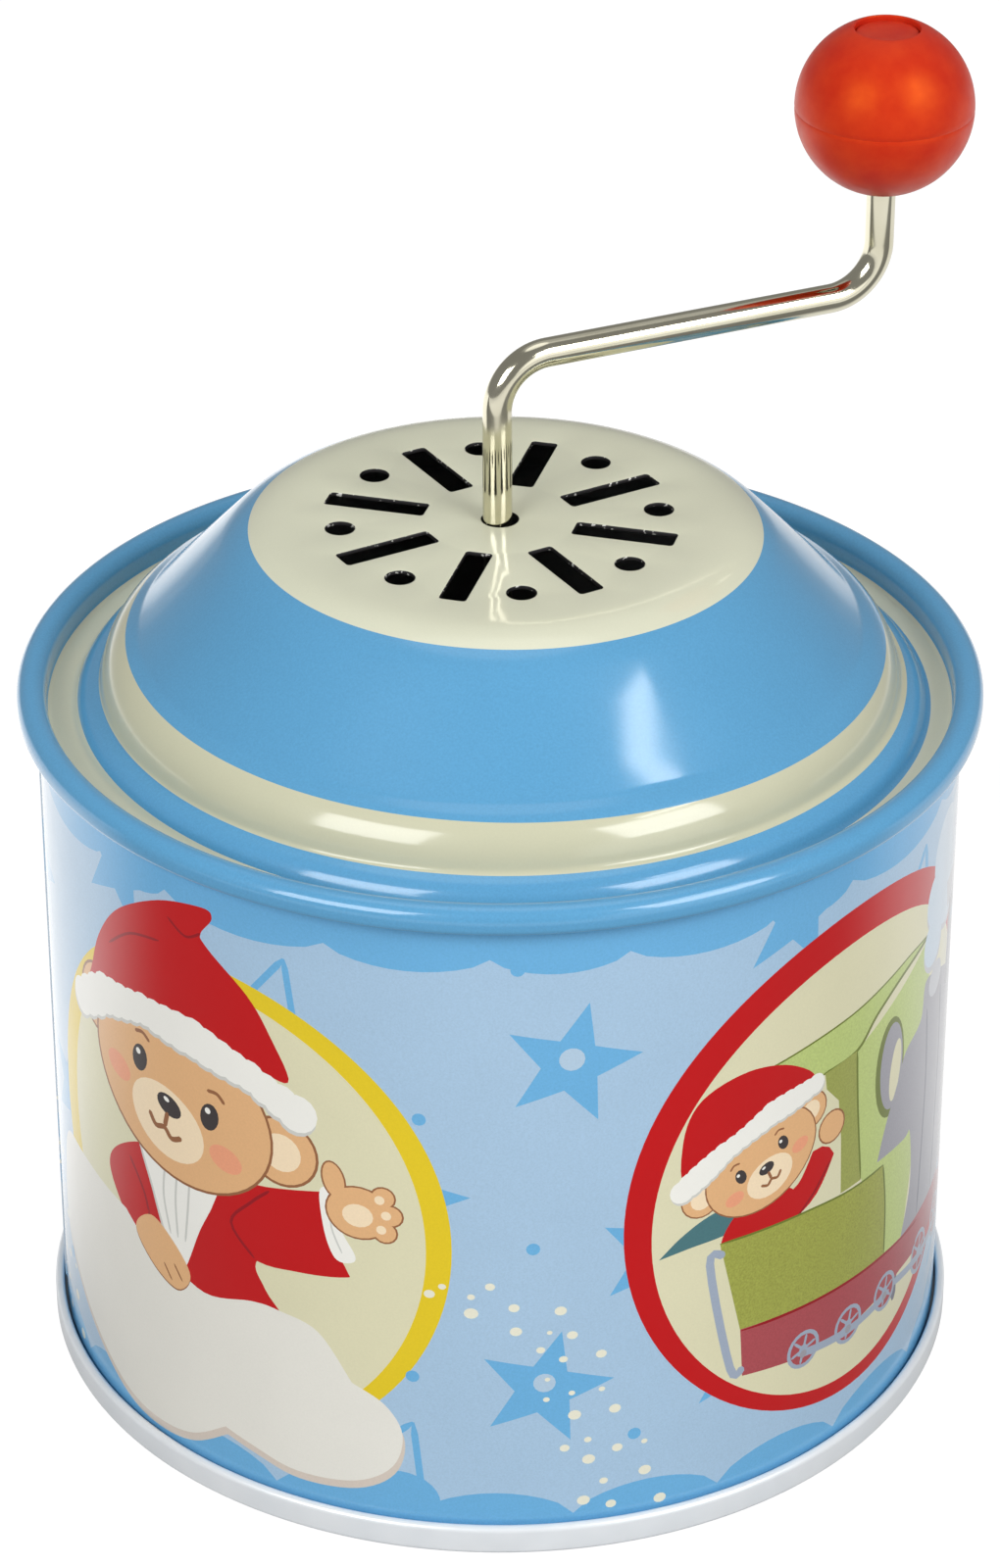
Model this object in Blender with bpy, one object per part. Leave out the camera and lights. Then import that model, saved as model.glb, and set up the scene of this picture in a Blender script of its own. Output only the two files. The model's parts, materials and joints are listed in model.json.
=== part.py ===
"""Hand-cranked tin music box: a round tinplate can with a stepped, perforated lid, a bent wire crank
with a ball knob, and a small comb movement screwed to the bottom plate.

The frame: +Z is up along the crank's shaft, the origin is on that axis at the underside of the base
ring, and -Y is the front. Sizes below are in millimetres and meshes are made in metres.
"""

import math

import bmesh
import bpy
from mathutils import Matrix, Vector

MM = 0.001
GAP = 0.3  # kept between pieces that touch on the real object
SHEET = 0.4  # tinplate of the lid and the bottom
ROUND = 48  # segments round the can
FINE = 12  # segments round screws and other small turned pieces

# can
CAN_R = 47.92
WALL = 0.32
WALL_LOW = 1.3
WALL_HIGH = 76.3
SEAM_ANGLE = math.radians(184)
SEAM_HALF_ANGLE = math.radians(2.0)
SEAM_RAISE = 0.15
SEAM_LOW = 3.7
SEAM_HIGH = 74.5
GROOVE_IN = 47.3
GROOVE_OUT = 48.2

# base ring and bottom plate
BASE_R = 49.17
BASE_HIGH = 3.3
FLOOR_TOP = 4.6
RING_IN = 46.6
BASE_EDGE = 0.8
FOOT_EDGE = 0.6
RING_EDGE = 0.4

# lid
RIM_R = 50.0
RIM_LOW = 74.9
RIM_TOP = 77.7
RIM_ROUND = 1.3
RIM_HEM = 0.8  # corner radius of the rim's inner and lower edges
CHUCK_R = 47.0
CHUCK_FILLET = 0.6
CHANNEL_Z = 74.5
CHANNEL_R = 44.3
STEP_FOOT = (44.0, 74.7)
STEP_TOP = (41.4, 77.0)
BEAD_TOP = (37.4, 82.45)
CONE_ANGLE = math.radians(46.6)
TOP_Z = 94.4
TOP_FLAT_R = 22.1
TOP_ROUND_R = 9.3
SHAFT_HOLE_R = 1.9
SLOTS = 8
SLOT_LENGTH = 10.5
SLOT_WIDTH = 2.7
SLOT_CORNER_R = 0.35
SLOT_CENTRE_R = 13.1
SLOT_FIRST = math.radians(75)
DOT_R = 1.5
DOT_CENTRE_R = 16.4

# crank
ROD_R = 1.5
ROD_LOW = 8.6
ARM_Z = 112.1
ARM_LENGTH = 42.6
ARM_ANGLE = math.radians(24)
BEND_R = 5.5
KNOB_R = 9.15
KNOB_Z = 132.4
KNOB_FLAT = 8.4
RECESS_R = 3.35
RECESS_FLOOR = 4.2
COUNTERBORE_R = 2.8
COUNTERBORE_TOP = -7.0
KNOB_FOOT = 0.6  # how far the ball is cut off flat above its lowest point
ROD_OVER_FLOOR = 1.3  # how far the rod stands into the knob's recess
RETAINER_R = 2.95
RETAINER_THICK = 0.5
STOP_THICK = 1.2
CAP_TOP = KNOB_FLAT - 0.45
CAP_LOW = KNOB_FLAT - 2.5
CAP_DISH = 0.1
CAP_BEVEL = 0.9
ROD_BORE_R = ROD_R + GAP

# worm and worm wheel
MODULE = 0.75
TEETH = 20
PITCH = math.pi * MODULE
WHEEL_R = MODULE * TEETH / 2
WHEEL_TIP_R = WHEEL_R + 0.6
WHEEL_ROOT_R = WHEEL_R - 1.0
WHEEL_HALF = 1.5
WORM_R = 3.4
WORM_TIP_R = 3.95
WORM_ROOT_R = 2.4
WORM_TURNS = 5
THREAD_TIP = 0.45
THREAD_ROOT = 1.05
TOOTH_TIP_HALF = 0.34
TOOTH_ROOT_HALF = 0.7
WORM_COLLAR_R = 2.8
DRUM_Y = WHEEL_R + WORM_R
DRUM_Z = 18.5

# drum
DRUM_R = 6.0
DRUM_WALL = 0.6
DRUM_START = 2.0
DRUM_END = 24.0
PIN_TIP_R = 6.9
TRACKS = 18
TRACK_PITCH = 1.0
FIRST_TRACK = 5.0
PINS_PER_TRACK = 3
ARBOR_R = 1.0
ARBOR_START = -5.4
ARBOR_END = 28.3
ARBOR_BORE_R = ARBOR_R + GAP
SPIGOT_R = DRUM_R - DRUM_WALL - GAP
SPIGOT_DEPTH = 2.0
CAP_THICK = 0.8
PIN_ROOT_HALF = 0.24
PIN_TIP_HALF = 0.15
ARBOR_BEVEL = 0.2

# bedplate and what stands on it
BED_LOW = 6.5
BED_TOP = 9.5
BED_X = (-12.0, 35.0)
BED_Y = (-21.5, 20.0)
BOSS_R = 3.25
ON_BED = BED_TOP + GAP
MOUNT_SPOTS = ((-7.0, -14.0), (30.0, -14.0), (12.0, 16.0))
MOUNT_SCREW_R = 1.25
SMALL_SCREW_R = 1.0
SMALL_HOLE_R = SMALL_SCREW_R + GAP
SCREW_END = 7.6
HOLE_END = 7.2
STRIP = 1.2  # strip steel of the spindle bracket
BEARING_STRIP = 1.0
BRACKET_HALF = 3.2
BRACKET_BACK = -6.7
BRACKET_TOP = 28.0
BRACKET_ARM = 2.9
BRACKET_FOOT = -16.0
BRACKET_SCREWS = (-9.6, -13.6)
WORM_TOP = BRACKET_TOP - STRIP - 0.4
BEARING_HALF = 3.5
BEARING_TOP = DRUM_Z + 3.6
BEARING_FOOT = 6.0
GEAR_BEARING_X = -4.6
GEAR_SCREW_X = GEAR_BEARING_X - 3.0
END_BEARING_X = 26.5
END_SCREW_X = END_BEARING_X + 4.0
COMB_X = (4.5, 22.5)
COMB_Y = (-20.2, -12.4)
COMB_LOW = 18.2
COMB_THICK = 1.2
TOOTH_THICK = 0.55
TOOTH_WIDTH = 0.75
TOOTH_TIP_Y = DRUM_Y - 7.3
BASS_ROOT_Y = -12.1
TREBLE_ROOT_Y = -7.5
COMB_SCREWS_X = (9.0, 18.0)
COMB_SCREW_Y = -16.3
COMB_LIP = 0.1  # how far the comb's thick root is kept in from its edges

# fasteners
HEAD_WIDTH = 1.85  # head radius over shank radius
HEAD_HEIGHT = 1.15  # head height over shank radius
HEAD_EDGE = 0.35
SCREW_SLOT_HALF = 0.3
SCREW_SLOT_DEPTH = 0.55
SCREW_POINT = 0.3
WASHER_R = 2.9
WASHER_THICK = 0.5
MOUNT_SCREW_END = BED_TOP - 0.9
MOUNT_HOLE_END = BED_TOP - 0.6


def clear_scene():
    for obj in list(bpy.data.objects):
        bpy.data.objects.remove(obj, do_unlink=True)


def material(name, colour, roughness, metallic):
    made = bpy.data.materials.new(name)
    made.use_nodes = True
    shader = made.node_tree.nodes["Principled BSDF"]
    shader.inputs["Base Color"].default_value = (*colour, 1.0)
    shader.inputs["Roughness"].default_value = roughness
    shader.inputs["Metallic"].default_value = metallic
    return made


def axis_empty(name, location, parent=None):
    empty = bpy.data.objects.new(name, None)
    bpy.context.collection.objects.link(empty)
    empty.location = Vector(location) * MM
    empty.parent = parent
    return empty


def solid(name, bm, finish=None, location=(0, 0, 0), rotation=(0, 0, 0), parent=None):
    """Makes an object of a bmesh in millimetres."""
    bmesh.ops.recalc_face_normals(bm, faces=bm.faces)
    if bm.calc_volume(signed=True) < 0:
        bmesh.ops.reverse_faces(bm, faces=bm.faces)
    bmesh.ops.scale(bm, vec=(MM, MM, MM), verts=bm.verts)
    mesh = bpy.data.meshes.new(name)
    bm.to_mesh(mesh)
    bm.free()
    mesh.shade_smooth()
    mesh.set_sharp_from_angle(angle=math.radians(35))
    if finish:
        mesh.materials.append(finish)
    obj = bpy.data.objects.new(name, mesh)
    bpy.context.collection.objects.link(obj)
    obj.location = Vector(location) * MM
    obj.rotation_euler = rotation
    obj.parent = parent
    return obj


def turned(profile, segments=FINE):
    """Turns a profile of (radius, height) points about Z. It is open where both ends lie on the axis."""
    bm = bmesh.new()
    verts = [bm.verts.new((radius, 0, height)) for radius, height in profile]
    on_axis = profile[0][0] == 0 and profile[-1][0] == 0
    ends = verts[1:] if on_axis else verts[1:] + verts[:1]
    edges = [bm.edges.new(pair) for pair in zip(verts, ends)]
    full = 2 * math.pi
    bmesh.ops.spin(bm, geom=verts + edges, cent=(0, 0, 0), axis=(0, 0, 1), angle=full, steps=segments)
    bmesh.ops.remove_doubles(bm, verts=bm.verts, dist=1e-5)
    return bm


def prism(outline, low, high):
    """Extrudes an outline of (x, y) points from one height to another."""
    bm = bmesh.new()
    face = bm.faces.new([bm.verts.new((x, y, low)) for x, y in outline])
    side = bmesh.ops.extrude_face_region(bm, geom=[face])["geom"]
    top = [item for item in side if isinstance(item, bmesh.types.BMVert)]
    bmesh.ops.translate(bm, vec=(0, 0, high - low), verts=top)
    return bm


def block(x, y, z):
    return prism([(x[0], y[0]), (x[1], y[0]), (x[1], y[1]), (x[0], y[1])], *z)


def disc(radius, low, high, centre=(0, 0), segments=FINE):
    bm = turned([(0, high), (radius, high), (radius, low), (0, low)], segments)
    bmesh.ops.translate(bm, vec=(*centre, 0), verts=bm.verts)
    return bm


def ring(outer, inner, low, high):
    return turned([(outer, high), (outer, low), (inner, low), (inner, high)])


def joined(shapes):
    """Puts separate shapes into one bmesh, for use as one cutter."""
    whole = bmesh.new()
    for shape in shapes:
        held = bpy.data.meshes.new("held")
        shape.to_mesh(held)
        shape.free()
        whole.from_mesh(held)
        bpy.data.meshes.remove(held)
    return whole


def combine(obj, shapes, operation):
    """Adds shapes to an object, or cuts them from it, with one Boolean."""
    helper = solid(f"{obj.name}_{operation.lower()}", joined(shapes))
    helper.parent = obj.parent
    helper.location = obj.location
    helper.rotation_euler = obj.rotation_euler
    helper.hide_render = True
    helper.display_type = "WIRE"
    boolean = obj.modifiers.new(operation.title(), "BOOLEAN")
    boolean.operation = operation
    boolean.object = helper


def arc(start, start_angle, end, end_angle, steps):
    """Points after start up to end on the outer side of a step, for a slope that steepens evenly."""
    points = []
    for step in range(1, steps + 1):
        slope = start_angle + (end_angle - start_angle) * step / steps
        across = (math.sin(slope) - math.sin(start_angle)) / (math.sin(end_angle) - math.sin(start_angle))
        down = (math.cos(start_angle) - math.cos(slope)) / (math.cos(start_angle) - math.cos(end_angle))
        points.append((start[0] + (end[0] - start[0]) * across, start[1] + (end[1] - start[1]) * down))
    return points


def offset_inside(points, thickness):
    """The underside of a sheet whose upper side runs outward through these points."""
    under = []
    for index, (radius, height) in enumerate(points):
        before = Vector(points[max(index - 1, 0)])
        after = Vector(points[min(index + 1, len(points) - 1)])
        along = (after - before).normalized()
        under.append((radius + along.y * thickness, height - along.x * thickness))
    return under


def lid_upper_side():
    """From the shaft hole outwards: flat top, rounded shoulder, cone, cream bead and blue step."""
    shoulder_r = TOP_FLAT_R + TOP_ROUND_R * math.sin(CONE_ANGLE)
    shoulder_z = TOP_Z - TOP_ROUND_R * (1 - math.cos(CONE_ANGLE))
    points = [(SHAFT_HOLE_R, TOP_Z), (TOP_FLAT_R, TOP_Z)]
    points += arc(points[-1], 0, (shoulder_r, shoulder_z), CONE_ANGLE, 3)
    points.append(BEAD_TOP)
    points += arc(BEAD_TOP, math.radians(20), STEP_TOP, math.radians(86), 3)
    points += arc(STEP_TOP, math.radians(5), STEP_FOOT, math.radians(78), 2)
    points.append((CHANNEL_R, CHANNEL_Z))
    return points


def make_top_lid(tin):
    upper = lid_upper_side()
    corner = RIM_ROUND * (1 - math.sqrt(0.5))
    rim = [
        (CHUCK_R - CHUCK_FILLET, CHANNEL_Z),
        (CHUCK_R, CHANNEL_Z + CHUCK_FILLET),
        (CHUCK_R, RIM_TOP - RIM_HEM),
        (CHUCK_R + RIM_HEM, RIM_TOP),
        (RIM_R - RIM_ROUND, RIM_TOP),
        (RIM_R - corner, RIM_TOP - corner),
        (RIM_R, RIM_TOP - RIM_ROUND),
        (RIM_R, RIM_LOW + RIM_HEM),
        (RIM_R - RIM_HEM, RIM_LOW),
        (GROOVE_OUT, RIM_LOW),
        (GROOVE_OUT, WALL_HIGH + GAP),
        (GROOVE_IN, WALL_HIGH + GAP),
        (GROOVE_IN, CHANNEL_Z - SHEET),
    ]
    lid = solid("top_lid", turned(upper + rim + offset_inside(upper, SHEET)[::-1], ROUND), tin)
    through = (TOP_Z - 2 * SHEET, TOP_Z + SHEET)
    holes = []
    for index in range(SLOTS):
        angle = SLOT_FIRST - 2 * math.pi * index / SLOTS
        holes.append(slot_cutter(angle, *through))
        between = angle - math.pi / SLOTS
        centre = (DOT_CENTRE_R * math.cos(between), DOT_CENTRE_R * math.sin(between))
        holes.append(disc(DOT_R, *through, centre, 10))
    combine(lid, holes, "DIFFERENCE")


def slot_cutter(angle, low, high):
    """A rectangle with small corner radii, whose long side points at the axis."""
    outline = []
    half_length = SLOT_LENGTH / 2 - SLOT_CORNER_R
    half_width = SLOT_WIDTH / 2 - SLOT_CORNER_R
    for quarter, (along, across) in enumerate(((1, 1), (-1, 1), (-1, -1), (1, -1))):
        for step in range(3):
            turn = math.pi / 2 * (quarter + step / 2)
            x = SLOT_CENTRE_R + along * half_length + SLOT_CORNER_R * math.cos(turn)
            y = across * half_width + SLOT_CORNER_R * math.sin(turn)
            outline.append((x, y))
    bm = prism(outline, low, high)
    bmesh.ops.rotate(bm, cent=(0, 0, 0), matrix=Matrix.Rotation(angle, 3, "Z"), verts=bm.verts)
    return bm


def make_body_shell(tin):
    inner = CAN_R - WALL
    wall = [(CAN_R, WALL_HIGH), (CAN_R, WALL_LOW), (inner, WALL_LOW), (inner, WALL_HIGH)]
    shell = solid("body_shell", turned(wall, ROUND), tin)
    middle = CAN_R - WALL / 2
    outer = CAN_R + SEAM_RAISE
    edge = []
    for radius, side in ((middle, -1), (outer, -1), (outer, 1), (middle, 1)):
        angle = SEAM_ANGLE + side * SEAM_HALF_ANGLE
        edge.append((radius * math.cos(angle), radius * math.sin(angle)))
    combine(shell, [prism(edge, SEAM_LOW, SEAM_HIGH)], "UNION")


def make_bottom_plate(tin):
    floor_low = FLOOR_TOP - SHEET
    profile = [
        (0, FLOOR_TOP),
        (GROOVE_IN, FLOOR_TOP),
        (GROOVE_IN, WALL_LOW - GAP),
        (GROOVE_OUT, WALL_LOW - GAP),
        (GROOVE_OUT, BASE_HIGH - BASE_EDGE / 4),
        (GROOVE_OUT + BASE_EDGE / 4, BASE_HIGH),
        (BASE_R - BASE_EDGE / 2, BASE_HIGH - BASE_EDGE / 4),
        (BASE_R, BASE_HIGH - BASE_EDGE),
        (BASE_R, FOOT_EDGE),
        (BASE_R - FOOT_EDGE, 0),
        (RING_IN + RING_EDGE, 0),
        (RING_IN, RING_EDGE),
        (RING_IN, floor_low),
        (0, floor_low),
    ]
    plate = solid("bottom_plate", turned(profile, ROUND), tin)
    through = (floor_low - SHEET, FLOOR_TOP + SHEET)
    combine(plate, [disc(MOUNT_SCREW_R + GAP, *through, spot) for spot in MOUNT_SPOTS], "DIFFERENCE")


def make_crank_rod(steel, crank):
    """Straight up the axis, a bend, the level arm, a bend, and up into the knob."""
    arm = Vector((math.cos(ARM_ANGLE), math.sin(ARM_ANGLE), 0))
    up = Vector((0, 0, 1))
    elbow = ARM_Z * up
    wrist = elbow + ARM_LENGTH * arm
    route = [ROD_LOW * up]
    for corner, arrive, leave in ((elbow, up, arm), (wrist, arm, up)):
        centre = corner + BEND_R * (leave - arrive)
        for step in range(7):
            turn = math.pi / 2 * step / 6
            route.append(centre + BEND_R * (arrive * math.sin(turn) - leave * math.cos(turn)))
    route.append(wrist + (KNOB_Z + RECESS_FLOOR + ROD_OVER_FLOOR - ARM_Z) * up)
    curve = bpy.data.curves.new("crank_rod", "CURVE")
    curve.dimensions = "3D"
    curve.bevel_depth = ROD_R * MM
    curve.bevel_resolution = 4
    curve.use_fill_caps = True
    spline = curve.splines.new("POLY")
    spline.points.add(len(route) - 1)
    for point, place in zip(spline.points, route):
        point.co = (*(place * MM), 1)
    curve.materials.append(steel)
    rod = bpy.data.objects.new("crank_rod", curve)
    bpy.context.collection.objects.link(rod)
    rod.parent = crank


def make_crank_knob(plastic, knob):
    """A ball with a flat top, a bore for the rod, a recess above and a counterbore below."""
    bottom = math.acos(-(KNOB_R - KNOB_FOOT) / KNOB_R)
    top = math.acos(KNOB_FLAT / KNOB_R)
    ball = []
    for step in range(11):
        angle = top + (bottom - top) * step / 10
        ball.append((KNOB_R * math.sin(angle), KNOB_R * math.cos(angle)))
    ball[0] = (ball[0][0], KNOB_FLAT)
    inside = [
        (COUNTERBORE_R, ball[-1][1]),
        (COUNTERBORE_R, COUNTERBORE_TOP),
        (ROD_BORE_R, COUNTERBORE_TOP),
        (ROD_BORE_R, RECESS_FLOOR),
        (RECESS_R, RECESS_FLOOR),
        (RECESS_R, KNOB_FLAT),
    ]
    solid("crank_knob", turned(ball + inside, 24), plastic, parent=knob)


def make_knob_trim(plastic, steel, knob, crank):
    """The plug over the recess, and the two rings on the rod that hold the ball at its height."""
    radius = RECESS_R - GAP
    plug = [
        (0, CAP_TOP),
        (radius - CAP_BEVEL, CAP_TOP - CAP_DISH),
        (radius, CAP_TOP - CAP_BEVEL / 2),
        (radius, CAP_LOW),
        (0, CAP_LOW),
    ]
    solid("knob_cap", turned(plug, 16), plastic, parent=knob)
    place = (ARM_LENGTH * math.cos(ARM_ANGLE), ARM_LENGTH * math.sin(ARM_ANGLE), KNOB_Z)
    retainer = ring(RETAINER_R, ROD_BORE_R, RECESS_FLOOR + GAP, RECESS_FLOOR + GAP + RETAINER_THICK)
    solid("knob_retainer", retainer, steel, place, parent=crank)
    stop_top = COUNTERBORE_TOP - GAP
    stop = ring(COUNTERBORE_R - GAP, ROD_BORE_R, stop_top - STOP_THICK, stop_top)
    solid("knob_stop", stop, steel, place, parent=crank)


def thread_radius(from_crest):
    """The worm's radius at a distance along the axis from the middle of its thread."""
    slope = (abs(from_crest) - THREAD_TIP / 2) / (THREAD_ROOT / 2 - THREAD_TIP / 2)
    return WORM_TIP_R - (WORM_TIP_R - WORM_ROOT_R) * min(max(slope, 0), 1)


def make_worm(brass, crank):
    """A right-hand thread whose gap faces the wheel at the height of the wheel's axis."""
    step = PITCH / FINE
    rows = WORM_TURNS * FINE
    low = DRUM_Z - WORM_TURNS * PITCH / 2
    crest = DRUM_Z + PITCH / 4
    rings = [(low - GAP, [WORM_ROOT_R] * FINE)]
    for row in range(rows + 1):
        height = low + row * step
        ring = []
        for column in range(FINE):
            away = height - crest - column * step
            ring.append(thread_radius(away - PITCH * round(away / PITCH)))
        rings.append((height, ring))
    high = rings[-1][0]
    rings += [(high + GAP, [WORM_COLLAR_R] * FINE), (WORM_TOP, [WORM_COLLAR_R] * FINE)]
    rings += [(rings[-1][0], [ROD_BORE_R] * FINE), (low - GAP, [ROD_BORE_R] * FINE)]
    bm = bmesh.new()
    loops = []
    for height, radii in rings:
        loop = []
        for column, radius in enumerate(radii):
            angle = 2 * math.pi * column / FINE
            loop.append(bm.verts.new((radius * math.cos(angle), radius * math.sin(angle), height)))
        loops.append(loop)
    for lower, upper in zip(loops, loops[1:] + loops[:1]):
        for column in range(FINE):
            after = (column + 1) % FINE
            bm.faces.new((lower[column], lower[after], upper[after], upper[column]))
    solid("worm", bm, brass, parent=crank)


def make_drum_gear(brass, drum):
    """The worm wheel, with teeth slanted to the worm's lead, and a spigot that plugs the drum."""
    flanks = (
        (WHEEL_ROOT_R, -TOOTH_ROOT_HALF),
        (WHEEL_TIP_R, -TOOTH_TIP_HALF),
        (WHEEL_TIP_R, TOOTH_TIP_HALF),
        (WHEEL_ROOT_R, TOOTH_ROOT_HALF),
    )
    outline = []
    for tooth in range(TEETH):
        middle = -math.pi / 2 + 2 * math.pi * tooth / TEETH
        for radius, half in flanks:
            angle = middle + half / radius
            outline.append((radius * math.cos(angle), radius * math.sin(angle)))
    bm = prism(outline, -WHEEL_HALF, WHEEL_HALF)
    slant = PITCH / (2 * math.pi * WORM_R) / WHEEL_R
    for vert in bm.verts:
        vert.co.rotate(Matrix.Rotation(slant * vert.co.z, 3, "Z"))
    gear = solid("drum_gear", bm, brass, rotation=(0, math.pi / 2, 0), parent=drum)
    spigot_end = DRUM_START + SPIGOT_DEPTH
    combine(gear, [disc(SPIGOT_R, 0, spigot_end, segments=24)], "UNION")
    combine(gear, [disc(ARBOR_BORE_R, -WHEEL_HALF - 1, spigot_end + 1)], "DIFFERENCE")


def make_drum(brass, drum):
    """A thin tube with three pins on each of its tracks, spread by a fixed rule."""
    inner = DRUM_R - DRUM_WALL
    wall = [(DRUM_R, DRUM_END), (DRUM_R, DRUM_START), (inner, DRUM_START), (inner, DRUM_END)]
    tube = solid("drum", turned(wall, 32), brass, rotation=(0, math.pi / 2, 0), parent=drum)
    pins = []
    for track in range(TRACKS):
        for turn in range(PINS_PER_TRACK):
            angle = math.radians(47 * track + 360 * turn / PINS_PER_TRACK + 13 * (track * turn % 5))
            pins.append(drum_pin(angle, FIRST_TRACK + track * TRACK_PITCH))
    combine(tube, pins, "UNION")


def drum_pin(angle, height):
    """A square tapered pin that stands out of the drum."""
    pin = bmesh.new()
    low, high = DRUM_R - DRUM_WALL / 2, PIN_TIP_R
    loops = []
    for radius, half in ((low, PIN_ROOT_HALF), (high, PIN_TIP_HALF)):
        corners = ((-half, -half), (half, -half), (half, half), (-half, half))
        loops.append([pin.verts.new((radius, y, height + z)) for y, z in corners])
    pin.faces.new(loops[0][::-1])
    pin.faces.new(loops[1])
    for index in range(4):
        after = (index + 1) % 4
        pin.faces.new((loops[0][index], loops[0][after], loops[1][after], loops[1][index]))
    bmesh.ops.rotate(pin, cent=(0, 0, 0), matrix=Matrix.Rotation(angle, 3, "Z"), verts=pin.verts)
    return pin


def make_drum_ends(brass, steel, drum):
    start = DRUM_END + GAP
    cap = [
        (DRUM_R, start + CAP_THICK),
        (DRUM_R, start),
        (SPIGOT_R, start),
        (SPIGOT_R, DRUM_END - SPIGOT_DEPTH),
        (ARBOR_BORE_R, DRUM_END - SPIGOT_DEPTH),
        (ARBOR_BORE_R, start + CAP_THICK),
    ]
    solid("drum_end_cap", turned(cap, 24), brass, rotation=(0, math.pi / 2, 0), parent=drum)
    arbor = [
        (0, ARBOR_END),
        (ARBOR_R - ARBOR_BEVEL, ARBOR_END),
        (ARBOR_R, ARBOR_END - ARBOR_BEVEL),
        (ARBOR_R, ARBOR_START + ARBOR_BEVEL),
        (ARBOR_R - ARBOR_BEVEL, ARBOR_START),
        (0, ARBOR_START),
    ]
    solid("drum_arbor", turned(arbor), steel, rotation=(0, math.pi / 2, 0), parent=drum)


def make_bedplate(zinc):
    plate = solid("bedplate", block(BED_X, BED_Y, (BED_LOW, BED_TOP)), zinc)
    bosses = [disc(BOSS_R, FLOOR_TOP + GAP, BED_LOW + 1, spot) for spot in MOUNT_SPOTS]
    combine(plate, bosses, "UNION")
    holes = [disc(MOUNT_SCREW_R + GAP, FLOOR_TOP - 1, MOUNT_HOLE_END, spot) for spot in MOUNT_SPOTS]
    spots = [(0, y) for y in BRACKET_SCREWS] + [(x, COMB_SCREW_Y) for x in COMB_SCREWS_X]
    spots += [(GEAR_SCREW_X, DRUM_Y), (END_SCREW_X, DRUM_Y)]
    holes += [disc(SMALL_HOLE_R, HOLE_END, BED_TOP + 1, spot) for spot in spots]
    holes.append(disc(ROD_BORE_R, HOLE_END, BED_TOP + 1))
    combine(plate, holes, "DIFFERENCE")


def make_bearing(name, steel, face, foot_side, screw_x):
    """An L of strip steel: an upright with the arbor's bearing hole, and a foot with one screw."""
    heel, corner = (face + BEARING_STRIP, face) if foot_side < 0 else (face, face + BEARING_STRIP)
    toe = corner + foot_side * BEARING_FOOT
    side = [
        (heel, ON_BED),
        (heel, BEARING_TOP),
        (corner, BEARING_TOP),
        (corner, ON_BED + BEARING_STRIP),
        (toe, ON_BED + BEARING_STRIP),
        (toe, ON_BED),
    ]
    bm = prism(side, -BEARING_HALF, BEARING_HALF)
    bmesh.ops.rotate(bm, cent=(0, 0, 0), matrix=Matrix.Rotation(math.pi / 2, 3, "X"), verts=bm.verts)
    bearing = solid(name, bm, steel, location=(0, DRUM_Y, 0))
    bore = disc(ARBOR_BORE_R, face - 1, face + BEARING_STRIP + 1)
    bmesh.ops.rotate(bore, cent=(0, 0, 0), matrix=Matrix.Rotation(math.pi / 2, 3, "Y"), verts=bore.verts)
    bmesh.ops.translate(bore, vec=(0, 0, DRUM_Z), verts=bore.verts)
    screw_hole = disc(SMALL_HOLE_R, ON_BED - 1, ON_BED + BEARING_STRIP + 1, (screw_x, 0))
    combine(bearing, [bore, screw_hole], "DIFFERENCE")


def make_spindle_bracket(steel):
    """A C of strip steel behind the worm: a foot on the bedplate, an upright and a top bearing arm."""
    front = BRACKET_BACK + STRIP
    side = [
        (BRACKET_FOOT, ON_BED),
        (front, ON_BED),
        (front, BRACKET_TOP - STRIP),
        (BRACKET_ARM, BRACKET_TOP - STRIP),
        (BRACKET_ARM, BRACKET_TOP),
        (BRACKET_BACK, BRACKET_TOP),
        (BRACKET_BACK, ON_BED + STRIP),
        (BRACKET_FOOT, ON_BED + STRIP),
    ]
    turn = Matrix(((0, 0, 1), (1, 0, 0), (0, 1, 0)))
    bm = prism(side, -BRACKET_HALF, BRACKET_HALF)
    bmesh.ops.transform(bm, matrix=turn.to_4x4(), verts=bm.verts)
    bracket = solid("spindle_bracket", bm, steel)
    holes = [disc(ROD_BORE_R, BRACKET_TOP - STRIP - 1, BRACKET_TOP + 1)]
    holes += [disc(SMALL_HOLE_R, ON_BED - 1, ON_BED + STRIP + 1, (0, y)) for y in BRACKET_SCREWS]
    combine(bracket, holes, "DIFFERENCE")


def make_thrust_button(plastic):
    solid("thrust_button", disc(ROD_R, HOLE_END + GAP, ROD_LOW - GAP), plastic)


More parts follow.
